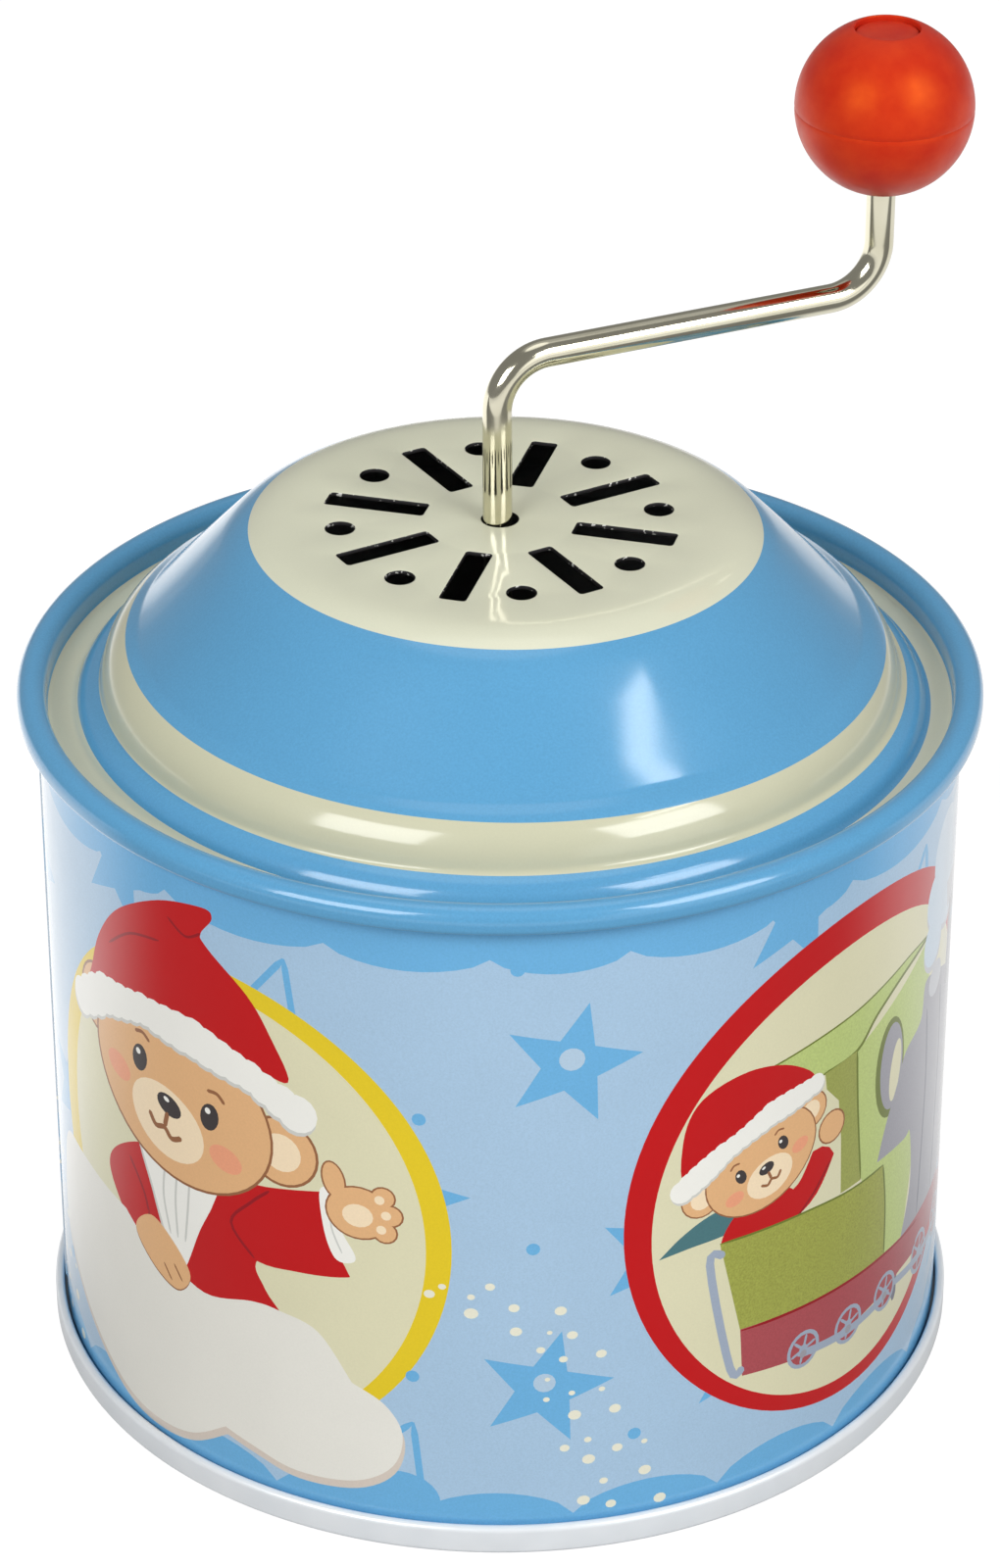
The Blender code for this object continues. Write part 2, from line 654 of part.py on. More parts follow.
def make_comb(steel, zinc):
    """The comb, with a slanted root line, and the block that carries it at the drum's height."""
    outline = []
    for track in range(TRACKS):
        middle = FIRST_TRACK + track * TRACK_PITCH
        root = BASS_ROOT_Y + (TREBLE_ROOT_Y - BASS_ROOT_Y) * track / (TRACKS - 1)
        left, right = middle - TOOTH_WIDTH / 2, middle + TOOTH_WIDTH / 2
        outline += [(left, root), (left, TOOTH_TIP_Y), (right, TOOTH_TIP_Y), (right, root)]
    outline[0] = (COMB_X[0], outline[0][1])
    outline[1] = (COMB_X[0], outline[1][1])
    outline[-2] = (COMB_X[1], outline[-2][1])
    outline[-1] = (COMB_X[1], outline[-1][1])
    outline += [(COMB_X[1], COMB_Y[0]), (COMB_X[0], COMB_Y[0])]
    comb = solid("comb", prism(outline, COMB_LOW, COMB_LOW + TOOTH_THICK), steel)
    root_x = (COMB_X[0] + COMB_LIP, COMB_X[1] - COMB_LIP)
    root_y = (COMB_Y[0] + COMB_LIP, COMB_Y[1])
    root_z = (COMB_LOW + COMB_LIP, COMB_LOW + COMB_THICK)
    combine(comb, [block(root_x, root_y, root_z)], "UNION")
    spots = [(x, COMB_SCREW_Y) for x in COMB_SCREWS_X]
    through = (COMB_LOW - 1, COMB_LOW + COMB_THICK + 1)
    combine(comb, [disc(SMALL_HOLE_R, *through, spot) for spot in spots], "DIFFERENCE")
    base = solid("comb_base", block(COMB_X, COMB_Y, (ON_BED, COMB_LOW - GAP)), zinc)
    combine(base, [disc(SMALL_HOLE_R, ON_BED - 1, COMB_LOW + 1, spot) for spot in spots], "DIFFERENCE")


def make_screw(name, steel, spot, seat, end, radius, upside_down=False):
    """A slotted pan-head screw whose head rests at one height and whose shank ends at another."""
    length = abs(end - seat)
    head_r, head_h = radius * HEAD_WIDTH, radius * HEAD_HEIGHT
    profile = [
        (0, head_h),
        (head_r - HEAD_EDGE, head_h),
        (head_r, head_h - HEAD_EDGE),
        (head_r, 0),
        (radius, 0),
        (radius, SCREW_POINT - length),
        (radius - SCREW_POINT, -length),
        (0, -length),
    ]
    turn = (math.pi, 0, 0) if upside_down else (0, 0, 0)
    screw = solid(name, turned(profile), steel, (*spot, seat), turn)
    slot_x = (-SCREW_SLOT_HALF, SCREW_SLOT_HALF)
    slot_y = (-head_r - 1, head_r + 1)
    slot_z = (head_h - SCREW_SLOT_DEPTH, head_h + 1)
    combine(screw, [block(slot_x, slot_y, slot_z)], "DIFFERENCE")


def make_fasteners(steel):
    washer_top = FLOOR_TOP - SHEET - GAP
    washer_low = washer_top - WASHER_THICK
    for number, spot in enumerate(MOUNT_SPOTS, 1):
        washer = ring(WASHER_R, MOUNT_SCREW_R + GAP, washer_low, washer_top)
        solid(f"mount_washer_{number}", washer, steel, (*spot, 0))
        seat = washer_low - GAP
        make_screw(f"mount_screw_{number}", steel, spot, seat, MOUNT_SCREW_END, MOUNT_SCREW_R, True)
    for number, y in enumerate(BRACKET_SCREWS, 1):
        seat = ON_BED + STRIP + GAP
        make_screw(f"bracket_screw_{number}", steel, (0, y), seat, SCREW_END, SMALL_SCREW_R)
    for number, x in enumerate(COMB_SCREWS_X, 1):
        seat = COMB_LOW + COMB_THICK + GAP
        make_screw(f"comb_screw_{number}", steel, (x, COMB_SCREW_Y), seat, SCREW_END, SMALL_SCREW_R)
    seat = ON_BED + BEARING_STRIP + GAP
    for name, x in (("gear_bearing_screw", GEAR_SCREW_X), ("end_bearing_screw", END_SCREW_X)):
        make_screw(name, steel, (x, DRUM_Y), seat, SCREW_END, SMALL_SCREW_R)


def main():
    clear_scene()
    lid_tin = material("lid_tin", (0.10, 0.36, 0.68), 0.3, 0.1)
    body_tin = material("body_tin", (0.38, 0.58, 0.80), 0.3, 0.1)
    base_tin = material("base_tin", (0.72, 0.78, 0.84), 0.35, 0.2)
    plated = material("plated_steel", (0.72, 0.72, 0.74), 0.18, 1.0)
    spring_steel = material("spring_steel", (0.50, 0.51, 0.54), 0.3, 1.0)
    brass = material("brass", (0.72, 0.52, 0.22), 0.3, 1.0)
    zinc = material("cast_zinc", (0.48, 0.49, 0.51), 0.5, 1.0)
    red = material("red_plastic", (0.62, 0.03, 0.02), 0.3, 0.0)
    acetal = material("acetal", (0.82, 0.82, 0.78), 0.45, 0.0)

    crank = axis_empty("crank_axis", (0, 0, 0))
    knob_at = (ARM_LENGTH * math.cos(ARM_ANGLE), ARM_LENGTH * math.sin(ARM_ANGLE), KNOB_Z)
    knob = axis_empty("knob_axis", knob_at, crank)
    drum = axis_empty("drum_axis", (0, DRUM_Y, DRUM_Z))

    make_body_shell(body_tin)
    make_top_lid(lid_tin)
    make_bottom_plate(base_tin)
    make_crank_rod(plated, crank)
    make_crank_knob(red, knob)
    make_knob_trim(red, plated, knob, crank)
    make_worm(brass, crank)
    make_drum_gear(brass, drum)
    make_drum(brass, drum)
    make_drum_ends(brass, plated, drum)
    make_bedplate(zinc)
    make_bearing("gear_bearing", plated, GEAR_BEARING_X, -1, GEAR_SCREW_X)
    make_bearing("end_bearing", plated, END_BEARING_X, 1, END_SCREW_X)
    make_spindle_bracket(plated)
    make_thrust_button(acetal)
    make_comb(spring_steel, zinc)
    make_fasteners(plated)


main()
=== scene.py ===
"""Looks of the hand-cranked tin music box: a litho-printed can with a pressed lid, a plated wire crank
and a red ball knob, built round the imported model's frame.

Lengths are in millimetres and turned into metres when a mesh is made. Print on the can is laid out on
the flat sheet: s runs round the wall from the front, to the right, and z runs up.
"""

import json
import math

import bmesh
import bpy
import numpy as np
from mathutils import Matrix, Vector
from mathutils.geometry import delaunay_2d_cdt


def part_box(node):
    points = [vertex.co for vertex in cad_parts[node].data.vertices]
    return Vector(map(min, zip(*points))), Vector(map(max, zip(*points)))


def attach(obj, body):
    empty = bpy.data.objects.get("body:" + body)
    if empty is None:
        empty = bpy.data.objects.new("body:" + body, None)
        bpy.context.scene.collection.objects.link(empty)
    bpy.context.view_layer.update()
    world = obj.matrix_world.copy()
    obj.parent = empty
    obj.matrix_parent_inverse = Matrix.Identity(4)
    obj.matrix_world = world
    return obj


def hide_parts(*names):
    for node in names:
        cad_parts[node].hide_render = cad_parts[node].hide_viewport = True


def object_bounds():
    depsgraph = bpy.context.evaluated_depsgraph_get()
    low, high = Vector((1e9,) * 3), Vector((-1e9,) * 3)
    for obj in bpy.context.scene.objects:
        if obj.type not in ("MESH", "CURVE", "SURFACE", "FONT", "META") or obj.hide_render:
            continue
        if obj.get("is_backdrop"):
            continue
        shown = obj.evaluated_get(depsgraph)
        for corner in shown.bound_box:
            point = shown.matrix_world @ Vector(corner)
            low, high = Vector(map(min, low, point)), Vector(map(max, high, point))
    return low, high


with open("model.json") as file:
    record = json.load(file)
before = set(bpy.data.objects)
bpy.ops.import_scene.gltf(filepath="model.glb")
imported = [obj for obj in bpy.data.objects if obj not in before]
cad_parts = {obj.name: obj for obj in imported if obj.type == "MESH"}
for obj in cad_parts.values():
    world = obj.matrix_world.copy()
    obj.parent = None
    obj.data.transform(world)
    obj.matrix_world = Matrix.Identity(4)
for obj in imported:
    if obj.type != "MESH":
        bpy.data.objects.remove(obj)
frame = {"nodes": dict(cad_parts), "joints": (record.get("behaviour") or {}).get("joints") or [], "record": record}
cad_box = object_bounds()

MM = 0.001
TURN = 2 * math.pi


def box_mm(node):
    """(lowest corner, highest corner) of a CAD node in millimetres."""
    low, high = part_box(node)
    return Vector(low) / MM, Vector(high) / MM


def joint_at(name):
    """The place of a joint's axis in millimetres."""
    return next(Vector(joint["pos_m"]) / MM for joint in frame["joints"] if joint["name"] == name)


# sizes that the frame gives
LID_BOX = box_mm("top_lid")
BASE_BOX = box_mm("bottom_plate")
KNOB_BOX = box_mm("crank_knob")
ROD_BOX = box_mm("crank_rod")
BODY_BOX = box_mm("body_shell")
RIM_R = LID_BOX[1].x
TOP_Z = LID_BOX[1].z
BASE_R = BASE_BOX[1].x
FLOOR_TOP = BASE_BOX[1].z
KNOB_AT = joint_at("knob_spin")
KNOB_R = (KNOB_BOX[1].x - KNOB_BOX[0].x) / 2
KNOB_FLAT = KNOB_BOX[1].z - KNOB_AT.z
ROD_R = -ROD_BOX[0].x
WALL_LOW = BODY_BOX[0].z
WALL_HIGH = BODY_BOX[1].z
CAN_R = BODY_BOX[1].x

# sheet metal
SHEET = 0.4
WALL = 0.32
ROUND = 240

# lid
TOP_FLAT_R = 22.1
TOP_ROUND_R = 9.3
CONE_SLOPE = math.radians(46.6)
CREASE = (37.4, 82.45)
STEP_TOP = (41.4, 77.0)
STEP_FOOT = (44.0, 74.7)
CHANNEL = (44.4, 74.5)
# slopes at the two ends of the bead and of the step, in degrees
BEAD_SLOPES = (20, 86)
STEP_SLOPES = (5, 78)
CHUCK_R = 47.0
CHUCK_FOOT = 0.6
RIM_TOP = 77.7
RIM_LOW = 74.9
RIM_EDGE = 0.8
SLOTS = 8
SLOT_SIZE = (10.5, 2.7)
SLOT_CENTRE_R = 13.1
SLOT_FIRST = math.radians(75)
DOT_R = 1.5
DOT_CENTRE_R = 16.4
SHAFT_HOLE_R = 1.9
# edges of the print, from the middle out, cream first: (radius, how far its centre is off to the right)
PRINT_EDGES = ((26.3, 0.6), (39.2, 0.6), (41.8, 0.3), (44.2, 0.45), (46.85, 0.0))
LID_BLUE = (90, 157, 200)
LID_CREAM = (215, 216, 192)
# the cream band on the bead, painted a little darker as shade
LID_BAND_PAINTED_SHADE = (200, 199, 171)
BAND_MIDDLE = 40.5
BAND_HALF = 2.0

# grooves that hold the wall, with the room past the wall's edge
GROOVE = (47.3, 48.2)
GROOVE_SPARE = 0.3

# base
SEAM_RING_R = 46.6
SEAM_RING_TOP = 3.3
SEAM_RING_FOLDS = (0.35, 0.6, 0.4)
FLOOR_FLAT_R = 42.0
SCREW_HOLE_R = 1.55

# side seam, on the left of the can
SEAM_AT = math.radians(-86)
SEAM_HALF = math.radians(2.0)
SEAM_RAISE = 0.15
SEAM_ENDS = (3.7, 74.5)
SEAM_BEND = 0.35
SEAM_FADE = 0.2
WALL_COLUMNS = 184

# crank
ARM_Z = 112.1
ROD_LEAN = (-0.3, -0.2)
BEND_R = 5.5

# ball knob, with heights from its centre
RECESS_R = 3.35
RECESS_DEPTH = 4.2
PARTING_LINE_Z = -0.2
PARTING_LINE_HALF = 0.22
PARTING_LINE_DEPTH = 0.07
FOOT_CUT = 0.6
BORE_R = 1.8
COUNTERBORE_R = 2.8
COUNTERBORE_Z = -7.0
PLUG_GAP = 0.06
PLUG_SUNK = 0.45
PLUG_THICK = 2.0


# ---------------------------------------------------------------- materials


def linear(rgb):
    """Scene-linear values of an sRGB colour given as 0 to 255."""
    made = []
    for channel in rgb:
        value = channel / 255
        made.append(value / 12.92 if value <= 0.04045 else ((value + 0.055) / 1.055) ** 2.4)
    return made


def rgba(rgb):
    return (*linear(rgb), 1.0)


VECTOR_SUMS = ("SUBTRACT", "MULTIPLY")


class Nodes:
    """Short ways to add nodes to a tree. A value is a number, a vector, a colour or another node's socket."""

    def __init__(self, tree):
        self.tree = tree
        tree.nodes.clear()

    def put(self, socket, value):
        if isinstance(value, bpy.types.NodeSocket):
            self.tree.links.new(value, socket)
        else:
            socket.default_value = value

    def node(self, kind, settings=None, **inputs):
        made = self.tree.nodes.new("ShaderNode" + kind)
        for key, value in (settings or {}).items():
            setattr(made, key, value)
        for key, value in inputs.items():
            self.put(made.inputs[key.replace("_", " ")], value)
        return made

    def math(self, operation, first, second=0.0, kind="Math"):
        made = self.node(kind, {"operation": operation})
        self.put(made.inputs[0], first)
        self.put(made.inputs[1], second)
        return made.outputs["Vector" if kind == "VectorMath" and operation in VECTOR_SUMS else "Value"]

    def vector(self, operation, first, second=(0, 0, 0)):
        return self.math(operation, first, second, "VectorMath")

    def span(self, value, low, high, start=0.0, end=1.0, kind="LINEAR"):
        """value taken from the range start..end to the range low..high."""
        limits = {"From_Min": start, "From_Max": end, "To_Min": low, "To_Max": high}
        return self.node("MapRange", {"interpolation_type": kind}, Value=value, **limits).outputs["Result"]


class Finish(Nodes):
    """A node material with one Principled shader."""

    def __init__(self, name, **values):
        self.material = bpy.data.materials.new(name)
        self.material.use_nodes = True
        super().__init__(self.material.node_tree)
        self.shader = self.node("BsdfPrincipled")
        self.node("OutputMaterial", Surface=self.shader.outputs["BSDF"])
        for key, value in values.items():
            self.set(key.replace("_", " "), value)

    def set(self, name, value):
        self.put(self.shader.inputs[name], value)

    def mix(self, factor, first, second, blend="MIX"):
        made = self.node("Mix", {"data_type": "RGBA", "blend_type": blend})
        for index, value in ((0, factor), (6, first), (7, second)):
            self.put(made.inputs[index], value)
        return made.outputs[2]

    def place(self):
        """The point in object space, in metres."""
        return self.node("TexCoord").outputs["Object"]

    def noise(self, size, detail=2.0, stretch=(1, 1, 1), roughness=0.5):
        """Noise from 0 to 1 whose features are about size millimetres across."""
        scaled = self.vector("MULTIPLY", self.place(), stretch)
        settings = {"Vector": scaled, "Scale": 1 / (size * MM), "Detail": detail, "Roughness": roughness}
        return self.node("TexNoise", **settings).outputs["Fac"]

    def colour(self, level, dark, light):
        """Base colour from one sRGB colour to another as a level goes from 0 to 1."""
        self.set("Base Color", self.mix(level, rgba(dark), rgba(light)))

    def rough(self, level, low, high):
        self.set("Roughness", self.span(level, low, high))

    def bump(self, height, strength, distance):
        """Bump of a height from 0 to 1, over a distance in millimetres."""
        made = self.node("Bump", Strength=strength, Distance=distance * MM, Height=height)
        self.set("Normal", made.outputs["Normal"])


def coat_print(finish, colour, grain):
    """Printed tinplate: ink with the screen's fine grain under a clear, slightly uneven varnish."""
    dots = finish.math("MULTIPLY", finish.math("SUBTRACT", finish.noise(0.22, 1.0), 0.5), grain)
    level = finish.math("ADD", dots, finish.span(finish.noise(9.0, 3.0), 0.97, 1.03))
    light = finish.node("CombineColor", Red=level, Green=level, Blue=level).outputs["Color"]
    finish.set("Base Color", finish.mix(1.0, colour, light, "MULTIPLY"))
    finish.rough(finish.noise(3.0), 0.30, 0.42)
    finish.bump(finish.noise(0.9, 1.0), 0.1, 0.0005)


def lid_print():
    """Blue lid with a cream disc, a cream band on the bead whose cream is painted darker as shade, and a cream
    channel.
    """
    finish = Finish("lid_print", Coat_Weight=1.0, Coat_Roughness=0.11, Specular_IOR_Level=0.12)
    flat = finish.vector("MULTIPLY", finish.place(), (1 / MM, 1 / MM, 0))
    cream = 0.0
    for radius, shift in reversed(PRINT_EDGES):
        out = finish.vector("LENGTH", finish.vector("SUBTRACT", flat, (shift, 0, 0)))
        cream = finish.math("ABSOLUTE", finish.math("SUBTRACT", cream, finish.math("LESS_THAN", out, radius)))
    # the band's cream is darkened here as painted shade
    away = finish.math("SUBTRACT", finish.vector("LENGTH", flat), BAND_MIDDLE)
    band_painted_shade_mask = finish.math("LESS_THAN", finish.math("ABSOLUTE", away), BAND_HALF)
    pale = finish.mix(band_painted_shade_mask, rgba(LID_CREAM), rgba(LID_BAND_PAINTED_SHADE))
    coat_print(finish, finish.mix(cream, rgba(LID_BLUE), pale), finish.span(cream, 0.22, 0.05))
    return finish.material


def wall_print():
    """Ink colours are in the mesh, with each ink's grain in the alpha."""
    finish = Finish("wall_print", Coat_Weight=1.0, Coat_Roughness=0.09, Specular_IOR_Level=0.08)
    finish.set("Coat IOR", 1.42)
    ink = finish.node("VertexColor", {"layer_name": "ink"})
    coat_print(finish, ink.outputs["Color"], ink.outputs["Alpha"])
    return finish.material


def pale_lacquer():
    """Clear-lacquered bare tinplate of the base seam, cloudy and pale, with fine rolling marks."""
    finish = Finish("pale_lacquer", Coat_Weight=0.3, Coat_Roughness=0.2, Specular_IOR_Level=0.4)
    cloud = finish.noise(6.0, detail=4.0)
    finish.colour(cloud, (229, 235, 240), (243, 245, 247))
    finish.set("Metallic", finish.span(finish.noise(2.5), 0.10, 0.22))
    finish.rough(cloud, 0.28, 0.40)
    finish.bump(finish.noise(0.5, stretch=(1, 1, 6)), 0.2, 0.006)
    return finish.material


def bare_tin():
    """The unprinted inner side of the tinplate, dull grey with rolling marks."""
    finish = Finish("bare_tin", Metallic=0.85)
    finish.colour(finish.noise(4.0, 3.0), (150, 152, 154), (178, 180, 180))
    finish.rough(finish.noise(0.4, stretch=(1, 12, 1)), 0.32, 0.5)
    finish.bump(finish.noise(0.3, stretch=(1, 10, 1)), 0.2, 0.005)
    return finish.material


def cut_edge_painted_shade():
    """The sheared edge of a punched opening, painted dark as shade, with a few burrs whose glints are painted
    bright.
    """
    finish = Finish("cut_edge_painted_shade", Metallic=0.4, Roughness=0.5)
    # painted shade: the edge is dark all over, and bright specks are painted glints on the burrs
    burr_glint = finish.math("GREATER_THAN", finish.noise(0.5, 1.0), 0.66)
    finish.colour(burr_glint, (34, 32, 34), (206, 206, 200))
    finish.bump(finish.noise(0.2), 0.3, 0.01)
    return finish.material


def plated_wire():
    """Bright nickel over drawn steel wire: clear reflections, faint long draw lines and tiny pits."""
    finish = Finish("plated_steel", Metallic=1.0)
    finish.colour(finish.noise(5.0, 2.0), (212, 206, 180), (230, 226, 206))
    finish.rough(finish.noise(0.6, stretch=(1, 1, 0.06)), 0.07, 0.16)
    finish.bump(finish.noise(0.9, 3.0), 0.12, 0.01)
    return finish.material


def spring_steel():
    """The comb's ground spring steel, with marks across the teeth."""
    finish = Finish("spring_steel", Metallic=1.0)
    marks = finish.noise(0.25, 3.0, stretch=(0.1, 1, 1))
    finish.colour(marks, (150, 152, 158), (190, 192, 196))
    finish.rough(marks, 0.22, 0.40)
    finish.bump(marks, 0.2, 0.006)
    return finish.material


def turned_brass():
    """Brass with the fine rings that turning leaves."""
    finish = Finish("turned_brass", Metallic=1.0)
    rings = finish.noise(0.3, 2.0, stretch=(1, 0.2, 0.2))
    finish.colour(finish.noise(3.0, 3.0), (196, 158, 84), (222, 188, 112))
    finish.rough(rings, 0.18, 0.36)
    finish.bump(rings, 0.2, 0.008)
    return finish.material


def cast_zinc():
    """Die-cast zinc: grey, with a slight skin and mottling."""
    finish = Finish("cast_zinc", Metallic=0.9)
    skin = finish.noise(1.2, 5.0)
    finish.colour(skin, (132, 134, 138), (166, 168, 170))
    finish.rough(skin, 0.38, 0.58)
    finish.bump(skin, 0.35, 0.03)
    return finish.material


def red_plastic():
    """Moulded red plastic, slightly waxy, with blotchy orange sheen and fine handling marks."""
    finish = Finish("red_plastic", Specular_IOR_Level=0.9, Specular_Tint=(1.0, 0.30, 0.02, 1.0))
    for name, value in (("Weight", 0.1), ("Scale", 0.002), ("Radius", (1.0, 0.2, 0.05))):
        finish.set("Subsurface " + name, value)
    finish.colour(finish.noise(2.6, 4.0, roughness=0.6), (186, 12, 20), (215, 62, 30))
    finish.rough(finish.noise(1.4, 3.0), 0.30, 0.52)
    finish.bump(finish.noise(0.35, 3.0), 0.25, 0.012)
    return finish.material


def acetal():
    """Natural acetal: off-white, waxy, with a faint machined texture."""
    finish = Finish("acetal", Subsurface_Weight=0.2, Subsurface_Scale=0.001)
    cloud = finish.noise(1.0, 3.0)
    finish.colour(cloud, (224, 224, 214), (236, 236, 228))
    finish.rough(cloud, 0.4, 0.5)
    finish.bump(finish.noise(0.2), 0.2, 0.01)
    return finish.material


# ---------------------------------------------------------------- inks

# outer and inner edge of each medallion's ring: centre, half width, half height
YELLOW_RING = ((-0.5, -1.1, 27.2, 27.9), (-0.2, -1.4, 24.3, 26.0))
RED_RING = ((0.35, 0.7, 29.7, 29.9), (0.2, -0.4, 26.6, 27.0))

# the print's inks: sRGB colour, and strength of the screen's grain
INK = {
    "sky": ((166, 195, 220), 0.20),
    "mid": ((107, 174, 219), 0.20),
    "yellow": ((227, 199, 35), 0.10),
    "red": ((193, 10, 16), 0.04),
    "red_shade": ((150, 14, 26), 0.06),
    "cream": ((220, 216, 182), 0.08),
    "cloud": ((230, 228, 219), 0.06),
    "cloud_shade": ((212, 200, 188), 0.12),
    "white": ((240, 239, 232), 0.03),
    "white_shade": ((206, 206, 200), 0.06),
    "fur": ((226, 178, 128), 0.12),
    "fur_light": ((244, 222, 188), 0.10),
    "fur_line": ((150, 100, 66), 0.08),
    "blush": ((234, 160, 124), 0.14),
    "dark": ((66, 60, 60), 0.06),
    "green": ((156, 162, 84), 0.40),
    "green_light": ((186, 202, 124), 0.36),
    "green_side": ((158, 163, 74), 0.62),
    "green_line": ((110, 122, 44), 0.10),
    "frame_red": ((170, 76, 82), 0.34),
    "steel": ((158, 170, 188), 0.10),
    "boiler": ((156, 155, 163), 0.16),
    "boiler_line": ((118, 118, 130), 0.14),
    "boiler_light": ((190, 192, 198), 0.12),
    "teal": ((74, 118, 124), 0.14),
    "brown": ((140, 96, 62), 0.10),
    "haze": ((196, 212, 226), 0.16),
    "star_eye": ((176, 200, 220), 0.16),
    "spark": ((230, 228, 208), 0.10),
}


# ---------------------------------------------------------------- print artwork


class Print:
    """Ink shapes on the flat sheet, lowest first, drawn from an origin. A second loop makes a hole."""

    def __init__(self, shapes, x=0, y=0):
        self.shapes, self.x, self.y = shapes, x, y

    def at(self, x, y):
        return Print(self.shapes, x, y)

    def patch(self, ink, *loops):
        self.shapes.append((ink, [[(a + self.x, b + self.y) for a, b in loop] for loop in loops]))

    def blob(self, ink, points, x=0, y=0):
        self.patch(ink, [(a + x, b + y) for a, b in curve(points)])

    def line(self, ink, points, width):
        self.patch(ink, stroke(points, width))

    def oval(self, ink, x, y, width, height=None, tilt=0, steps=None):
        self.patch(ink, ellipse(x, y, width, height, tilt, steps))

    def ring(self, ink, outer, inner):
        """A ring between two ellipses, each (x, y, half width, half height)."""
        self.patch(ink, ellipse(*outer, steps=120), ellipse(*inner, steps=120))


def ellipse(x, y, width, height=None, tilt=0, steps=None):
    """Closed outline from its centre and half sizes."""
    height = width if height is None else height
    steps = steps or max(12, min(96, int(14 * math.sqrt(max(width, height)))))
    across, up = math.cos(math.radians(tilt)), math.sin(math.radians(tilt))
    points = []
    for step in range(steps):
        a, b = width * math.cos(TURN * step / steps), height * math.sin(TURN * step / steps)
        points.append((x + a * across - b * up, y + a * up + b * across))
    return points


def spline(before, start, end, after, steps):
    """Points from start almost to end, on a smooth curve through all four."""
    before, start, end, after = (Vector(point) for point in (before, start, end, after))
    for t in (step / steps for step in range(steps)):
        drift = (end - before) * t + (2 * before - 5 * start + 4 * end - after) * t * t
        drift += (3 * start - before - 3 * end + after) * t**3
        yield start + drift / 2


def curve(points, steps=6):
    """Smooth closed outline through the points. A point given twice makes a corner."""
    made = []
    for index in range(len(points)):
        four = [points[(index + shift) % len(points)] for shift in (-1, 0, 1, 2)]
        if four[1] != four[2]:
            made += [tuple(point) for point in spline(*four, steps)]
    return made


def stroke(points, width, steps=5):
    """Closed outline of a line drawn through the points, with tapered ends."""
    route = [points[0], *points, points[-1]]
    path = []
    for four in zip(route, route[1:], route[2:], route[3:]):
        path += spline(*four, steps)
    path.append(Vector(points[-1]))
    left, right = [], []
    for index, point in enumerate(path):
        along = (path[min(index + 1, len(path) - 1)] - path[max(index - 1, 0)]).normalized()
        side = Vector((-along.y, along.x)) * width / 2
        if index in (0, len(path) - 1):
            side *= 0.35
        left.append(tuple(point + side))
        right.append(tuple(point - side))
    return left + right[::-1]


def star(x, y, radius, tilt=76, inner=0.42):
    points = []
    for step in range(10):
        reach = radius if step % 2 == 0 else radius * inner
        angle = math.radians(tilt + 36 * step)
        points.append((x + reach * math.cos(angle), y + reach * math.sin(angle)))
    return points


def fur_trim(art, points, radius, shade):
    """Round tufts along a line over their own shade, which lies off by the vector shade."""
    tufts = []
    for index, (start, end) in enumerate(zip(points, points[1:])):
        start, end = Vector(start), Vector(end)
        count = max(1, round((end - start).length / (radius * 0.9)))
        for step in range(count + (index == len(points) - 2)):
            centre = start.lerp(end, step / count)
            size = radius * (1.0 + 0.12 * math.sin(7.0 * len(tufts)))
            tufts.append(ellipse(centre.x, centre.y, size, steps=16))
    for tuft in tufts:
        art.patch("white_shade", [(x + shade[0], y + shade[1]) for x, y in tuft])
    for tuft in tufts:
        art.patch("white", tuft)


def cloud_bank(art):
    """A soft cloud with a notch on its right and a cusp below, over its own shade."""
    edge = [
        (-31.6, -21), (-31, -13), (-28.8, -8.6), (-24, -8.2), (-17.6, -8.8), (-11.5, -9.6), (-7.2, -11.3),
        (-1.3, -13.6), (4.8, -12.1), (8.2, -12.1), (12.6, -13.4), (16.2, -18.8), (16.2, -18.8), (19.7, -20.9),
        (21.5, -24.4), (20.4, -28.6), (16.4, -31.2), (9.8, -31.8), (4.8, -30.6), (1, -29.6), (1, -29.6),
        (-3.6, -32.6), (-8.5, -33.6), (-14.1, -33.1), (-20, -30.4), (-26.1, -26.4),
    ]
    art.blob("cloud_shade", edge, 0.25, -0.9)
    art.blob("cloud", edge)


def bear_head(art, x, y, size, tilt, ear_side):
    """A teddy's head: two ears, a light muzzle, a nose, a smile and button eyes, turned by tilt degrees."""
    across, up = math.cos(math.radians(tilt)), math.sin(math.radians(tilt))

    def at(a, b):
        return x + size * (a * across - b * up), y + size * (a * up + b * across)

    def round_at(ink, a, b, width, height=None):
        art.oval(ink, *at(a, b), size * width, size * (height or width), tilt)

    def line_at(points, width):
        art.line("fur_line", [at(*point) for point in points], width * size)

    for side in (-1, 1):
        reach = side * (1.12 if side == ear_side else 1.06)
        round_at("fur_line", reach, 0.16, 0.335)
        round_at("fur", reach, 0.16, 0.31)
        round_at("fur_light", reach, 0.15, 0.18)
    round_at("fur_line", 0, 0, 1.065, 0.825)
    round_at("fur", 0, 0, 1.04, 0.80)
    for side in (-1, 1):
        round_at("blush", side * 0.66, -0.24, 0.17, 0.12)
    round_at("fur_light", 0, -0.32, 0.44, 0.34)
    round_at("dark", 0, -0.14, 0.145, 0.10)
    round_at("white", -0.04, -0.10, 0.035, 0.022)
    line_at([(0, -0.22), (0, -0.38)], 0.05)
    line_at([(-0.2, -0.36), (-0.1, -0.44), (0, -0.39), (0.1, -0.44), (0.2, -0.36)], 0.05)
    for side in (-1, 1):
        round_at("dark", side * 0.42, 0.06, 0.095, 0.135)
        round_at("white", side * 0.42 - 0.03, 0.11, 0.03)
        line_at([(side * 0.34, 0.30), (side * 0.44, 0.33), (side * 0.53, 0.28)], 0.035)


